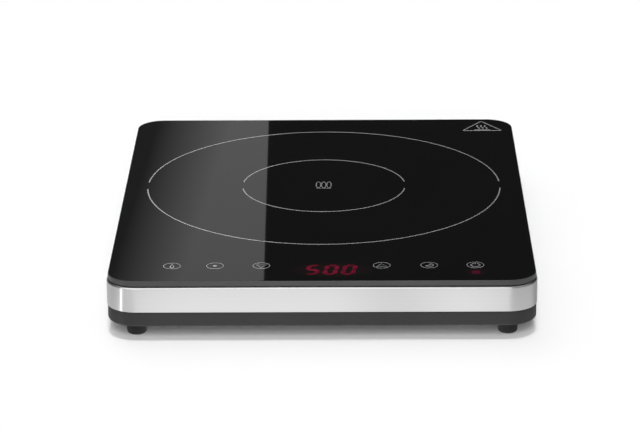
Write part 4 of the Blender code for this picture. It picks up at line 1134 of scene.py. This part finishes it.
def build_winding():
    low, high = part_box("coil_winding")
    outer, inner = (high.x - low.x) / 2, WINDING_INNER
    wire = (outer - inner) / WINDING_TURNS / 2 * WIRE_SHARE
    mesh = grown("stranded_winding", bpy.data.meshes.new("points"), winding_tree(),
                 Turns=float(WINDING_TURNS), Inner_Radius=inner + wire, Outer_Radius=outer - wire,
                 Wire_Radius=wire, Material=FINISH["copper"])
    mesh.transform(Matrix.Translation((0, (low.y + high.y) / 2, high.z - wire)))
    mesh.shade_smooth()
    put(linked("stranded_winding", mesh), "copper", "coil_winding")


build_winding()

# %% [markdown]
# ## Finishes for the parts that keep their CAD mesh
#
# The parts inside the housing are already right in shape. Each gets the finish of its slot in the record.
# The CAD plate, which the finer plate stands for, gets a plain black in place of the glass.

# %% Dress the inner parts
def dress_cad_parts():
    slots = {row["node"]: row["material_slot"] for row in frame["record"]["subparts"]}
    for name, part in NODES.items():
        slot = slots[name]
        finish = "component_black" if slot == "black_glass" else slot
        part.data.materials.clear()
        part.data.materials.append(FINISH[finish])
    return len(slots)


print("dressed:", dress_cad_parts())

# %% [markdown]
# ## Studio
#
# A white floor fills the view. A tall narrow light in front reaches in under the tray and keeps the floor
# beside the cooktop white. It is made of three round ones, one above the other. A small light overhead,
# which leans to the front, ends the shadow right below the tray's edge, and a wide weak one from the rear
# left shades the floor in front softly. Polished and brushed parts show what is reflected in them more than
# their own colour, so mirror rays get surroundings of their own: a sky that is dark behind and bright in
# front, a tall grey panel behind on the left, and a floor that gets darker round the cooktop's corners.
# Cards of this kind are what a studio hangs round shiny objects.

# %% Floor
FLOOR_SIZE = 12.0


def flat_square(name, size, height):
    bm = bmesh.new()
    bmesh.ops.create_grid(bm, x_segments=1, y_segments=1, size=size / 2)
    bmesh.ops.translate(bm, vec=(0, 0, height), verts=bm.verts)
    return finished(bm, name)


def build_floor():
    material, tree, shader = blank_material("studio floor", Specular_IOR_Level=0.0)
    effect = grouped(tree, TEXTURE, Grain_Scale=300.0, Broad_Scale=1.5)
    drive_colour(tree, shader, effect["Broad"], (0.94, 0.94, 0.94), (0.955, 0.955, 0.955))
    drive_roughness(tree, shader, effect["Grain"], 0.85, 0.95)
    floor = linked("floor", flat_square("floor", FLOOR_SIZE, 0.0), material)
    floor.visible_glossy = False


build_floor()

# %% Sky
SKY_SEEN = 1.05
SKY_LIGHT = 0.17
MIRROR_DARK = 0.020
MIRROR_OVERHEAD = 0.55
MIRROR_FRONT = 1.5
MIRROR_FRONT_LOW = 0.42
FRONT_TURN = 25.0  # the bright part of the mirror sky is turned this far to the left


def mirror_sky(tree, direction):
    """Brightness for mirror rays: dark all round near the horizon, but bright in front and overhead."""
    up = parts_of(tree, direction)["Z"]
    overhead = span(tree, up, 0.50, 0.85, MIRROR_DARK, MIRROR_OVERHEAD, smooth=True)
    level = vector_math(tree, "MULTIPLY", direction, (1, 1, 0))[0]
    level = vector_math(tree, "NORMALIZE", level)[0]
    turn = math.radians(FRONT_TURN)
    front = (-math.sin(turn), -math.cos(turn), 0)
    facing = vector_math(tree, "DOT_PRODUCT", level, front)["Value"]
    ahead = span(tree, facing, 0.66, 0.84, 0.0, 1.0, smooth=True)
    strength = span(tree, up, 0.30, 0.55, MIRROR_FRONT_LOW, MIRROR_FRONT, smooth=True)
    return math_node(tree, "MAXIMUM", overhead, times(tree, ahead, strength))


def build_sky():
    world = bpy.data.worlds.new("studio sky")
    world.use_nodes = True
    tree = world.node_tree
    tree.nodes.clear()
    ray = node(tree, "ShaderNodeLightPath").outputs
    direction = node(tree, "ShaderNodeTexCoord").outputs["Generated"]
    seen, even, mirror = [
        node(tree, "ShaderNodeBackground", {"Color": (1, 1, 1, 1), "Strength": strength}).outputs[0]
        for strength in (SKY_SEEN, SKY_LIGHT, mirror_sky(tree, direction))
    ]
    unseen = node(tree, "ShaderNodeMixShader", {0: ray["Is Glossy Ray"], 1: even, 2: mirror}).outputs[0]
    choice = node(tree, "ShaderNodeMixShader", {0: ray["Is Camera Ray"], 1: unseen, 2: seen}).outputs[0]
    node(tree, "ShaderNodeOutputWorld", {"Surface": choice})
    SCENE.world = world


build_sky()

# %% Lights
FRONT_ELEVATIONS = (18, 30, 42)
FRONT_SPREAD, FRONT_STRENGTH = 14, 0.90
# (name, direction towards it, degrees across, strength)
OTHER_LIGHTS = (
    ("overhead_light", (0.0, -0.27, 0.96), 8, 1.20),
    ("rear_light", (-0.25, 0.62, 0.74), 50, 0.45),
)


def soft_light(name, towards_light, spread, strength):
    """A far, round light of this many degrees across. Mirror rays don't see it."""
    data = bpy.data.lights.new(name, "SUN")
    data.angle = math.radians(spread)
    data.energy = strength
    light = bpy.data.objects.new(name, data)
    light.matrix_world = Vector(towards_light).to_track_quat("Z", "Y").to_matrix().to_4x4()
    light.visible_glossy = False
    SCENE.collection.objects.link(light)


for number, elevation in enumerate(FRONT_ELEVATIONS, 1):
    rise = math.radians(elevation)
    towards = (0.01, -math.cos(rise), math.sin(rise))
    soft_light(f"front_light_{number}", towards, FRONT_SPREAD, FRONT_STRENGTH)
for other_light in OTHER_LIGHTS:
    soft_light(*other_light)

# %% Cards that only mirror rays see
PANEL_Y = 1.60
PANEL_EDGE = (-0.0631, -0.1256)  # of its right side, at the floor and at the top
PANEL_TOP = 1.5
PANEL_LEFT = -1.4
PANEL_RISE_START, PANEL_RISE_END = -0.285, -0.190
PANEL_LEAN = 0.317  # how far the shading moves left for each metre up
PANEL_LEVEL = 0.68
PANEL_LEVELS = (0.05, 0.43)


def mirror_card(name, mesh, brightness):
    """A card that only mirror rays see. Its brightness comes from a function that adds nodes to its tree."""
    material = bpy.data.materials.new(name)
    material.use_nodes = True
    tree = material.node_tree
    tree.nodes.clear()
    light = node(tree, "ShaderNodeEmission", {"Color": (1, 1, 1, 1), "Strength": brightness(tree)})
    node(tree, "ShaderNodeOutputMaterial", {"Surface": light.outputs[0]})
    card = linked(name, mesh, material)
    for kind in ("camera", "diffuse", "shadow", "transmission", "volume_scatter"):
        setattr(card, f"visible_{kind}", False)


def panel_shading(tree):
    """Dark on the left, and lighter from a slanting line on."""
    place = parts_of(tree, object_place(tree))
    lift = minus(tree, place["Z"], PANEL_LEVEL)
    across = math_node(tree, "MULTIPLY_ADD", lift, PANEL_LEAN, place["X"])
    return span(tree, across, PANEL_RISE_START, PANEL_RISE_END, *PANEL_LEVELS)


panel_corners = [(PANEL_LEFT, PANEL_Y, 0), (PANEL_EDGE[0], PANEL_Y, 0), (PANEL_EDGE[1], PANEL_Y, PANEL_TOP),
                 (PANEL_LEFT, PANEL_Y, PANEL_TOP)]
panel_mesh = bpy.data.meshes.new("grey_panel")
panel_mesh.from_pydata(panel_corners, [], [(0, 1, 2, 3)])
mirror_card("grey_panel", panel_mesh, panel_shading)

# %% The floor that mirror rays see
CORNER_CENTRE = (BAND_HIGH.x - BAND_CORNER, BAND_LOW.y + BAND_CORNER)
MIRROR_FLOOR = 1.03
# (angle round the corner from the front, brightness), in degrees
LEFT_TURN = ((0, 1.0), (3, 0.95), (8, 0.87), (20, 0.78), (46, 0.74), (51, 0.76), (54, 2.3), (57, 2.3),
             (60, 0.90), (82, 0.72), (92, 0.68), (130, 0.68), (180, 0.70))
RIGHT_TURN = ((0, 1.0), (3, 0.96), (8, 0.89), (15, 0.80), (26, 0.76), (45, 0.72), (85, 0.69), (100, 0.61),
              (115, 0.45), (130, 0.42), (150, 0.55), (180, 0.60))
SIDE_DIM = (0.100, 0.140, 0.90)  # it gets darker from the first place to the second, down to the third
FRONT_DIP = (0.052, 0.050, 0.86)  # a soft darker patch in front: its middle, its reach and its brightness


def round_corner(tree, place, side, turn):
    """A ramp over the angle round one corner, as a share of the brightness in front."""
    x = minus(tree, times(tree, place["X"], float(side)), CORNER_CENTRE[0])
    y = minus(tree, CORNER_CENTRE[1], place["Y"])
    beside = math_node(tree, "GREATER_THAN", x, 0.0)
    angle = times(tree, math_node(tree, "ARCTAN2", x, y), beside)
    share = math_node(tree, "DIVIDE", angle, math.pi)
    curve = node(tree, "ShaderNodeFloatCurve", {"Value": share})
    line = curve.mapping.curves[0]
    top = max(level for _, level in turn)
    for degrees, level in turn[1:-1]:
        line.points.new(degrees / 180, level / top)
    line.points[0].location = (0.0, turn[0][1] / top)
    line.points[-1].location = (1.0, turn[-1][1] / top)
    for point in line.points:
        point.handle_type = "VECTOR"
    curve.mapping.update()
    return times(tree, curve.outputs[0], top)


def floor_shading(tree):
    place = parts_of(tree, object_place(tree))
    both = times(tree, round_corner(tree, place, -1, LEFT_TURN), round_corner(tree, place, 1, RIGHT_TURN))
    start, end, low = SIDE_DIM
    dim = span(tree, math_node(tree, "ABSOLUTE", place["X"]), start, end, 1.0, low, smooth=True)
    centre, reach, depth = FRONT_DIP
    off = math_node(tree, "DIVIDE", minus(tree, place["X"], centre), reach)
    dip = span(tree, math_node(tree, "ABSOLUTE", off), 0.0, 1.0, depth, 1.0, smooth=True)
    soft = times(tree, dim, dip)
    return times(tree, times(tree, both, soft), MIRROR_FLOOR)


mirror_card("mirror_floor", flat_square("mirror_floor", FLOOR_SIZE, -0.001), floor_shading)

# %% [markdown]
# ## Finish
#
# The plain view transform keeps white as white. The last cell also has a small function that turns a box's
# corners into plain numbers.

# %% Set the view
SCENE.view_settings.view_transform = "Standard"
SCENE.view_settings.look = "None"
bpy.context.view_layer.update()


def plain(box):
    return [[float(v) for v in corner] for corner in box]
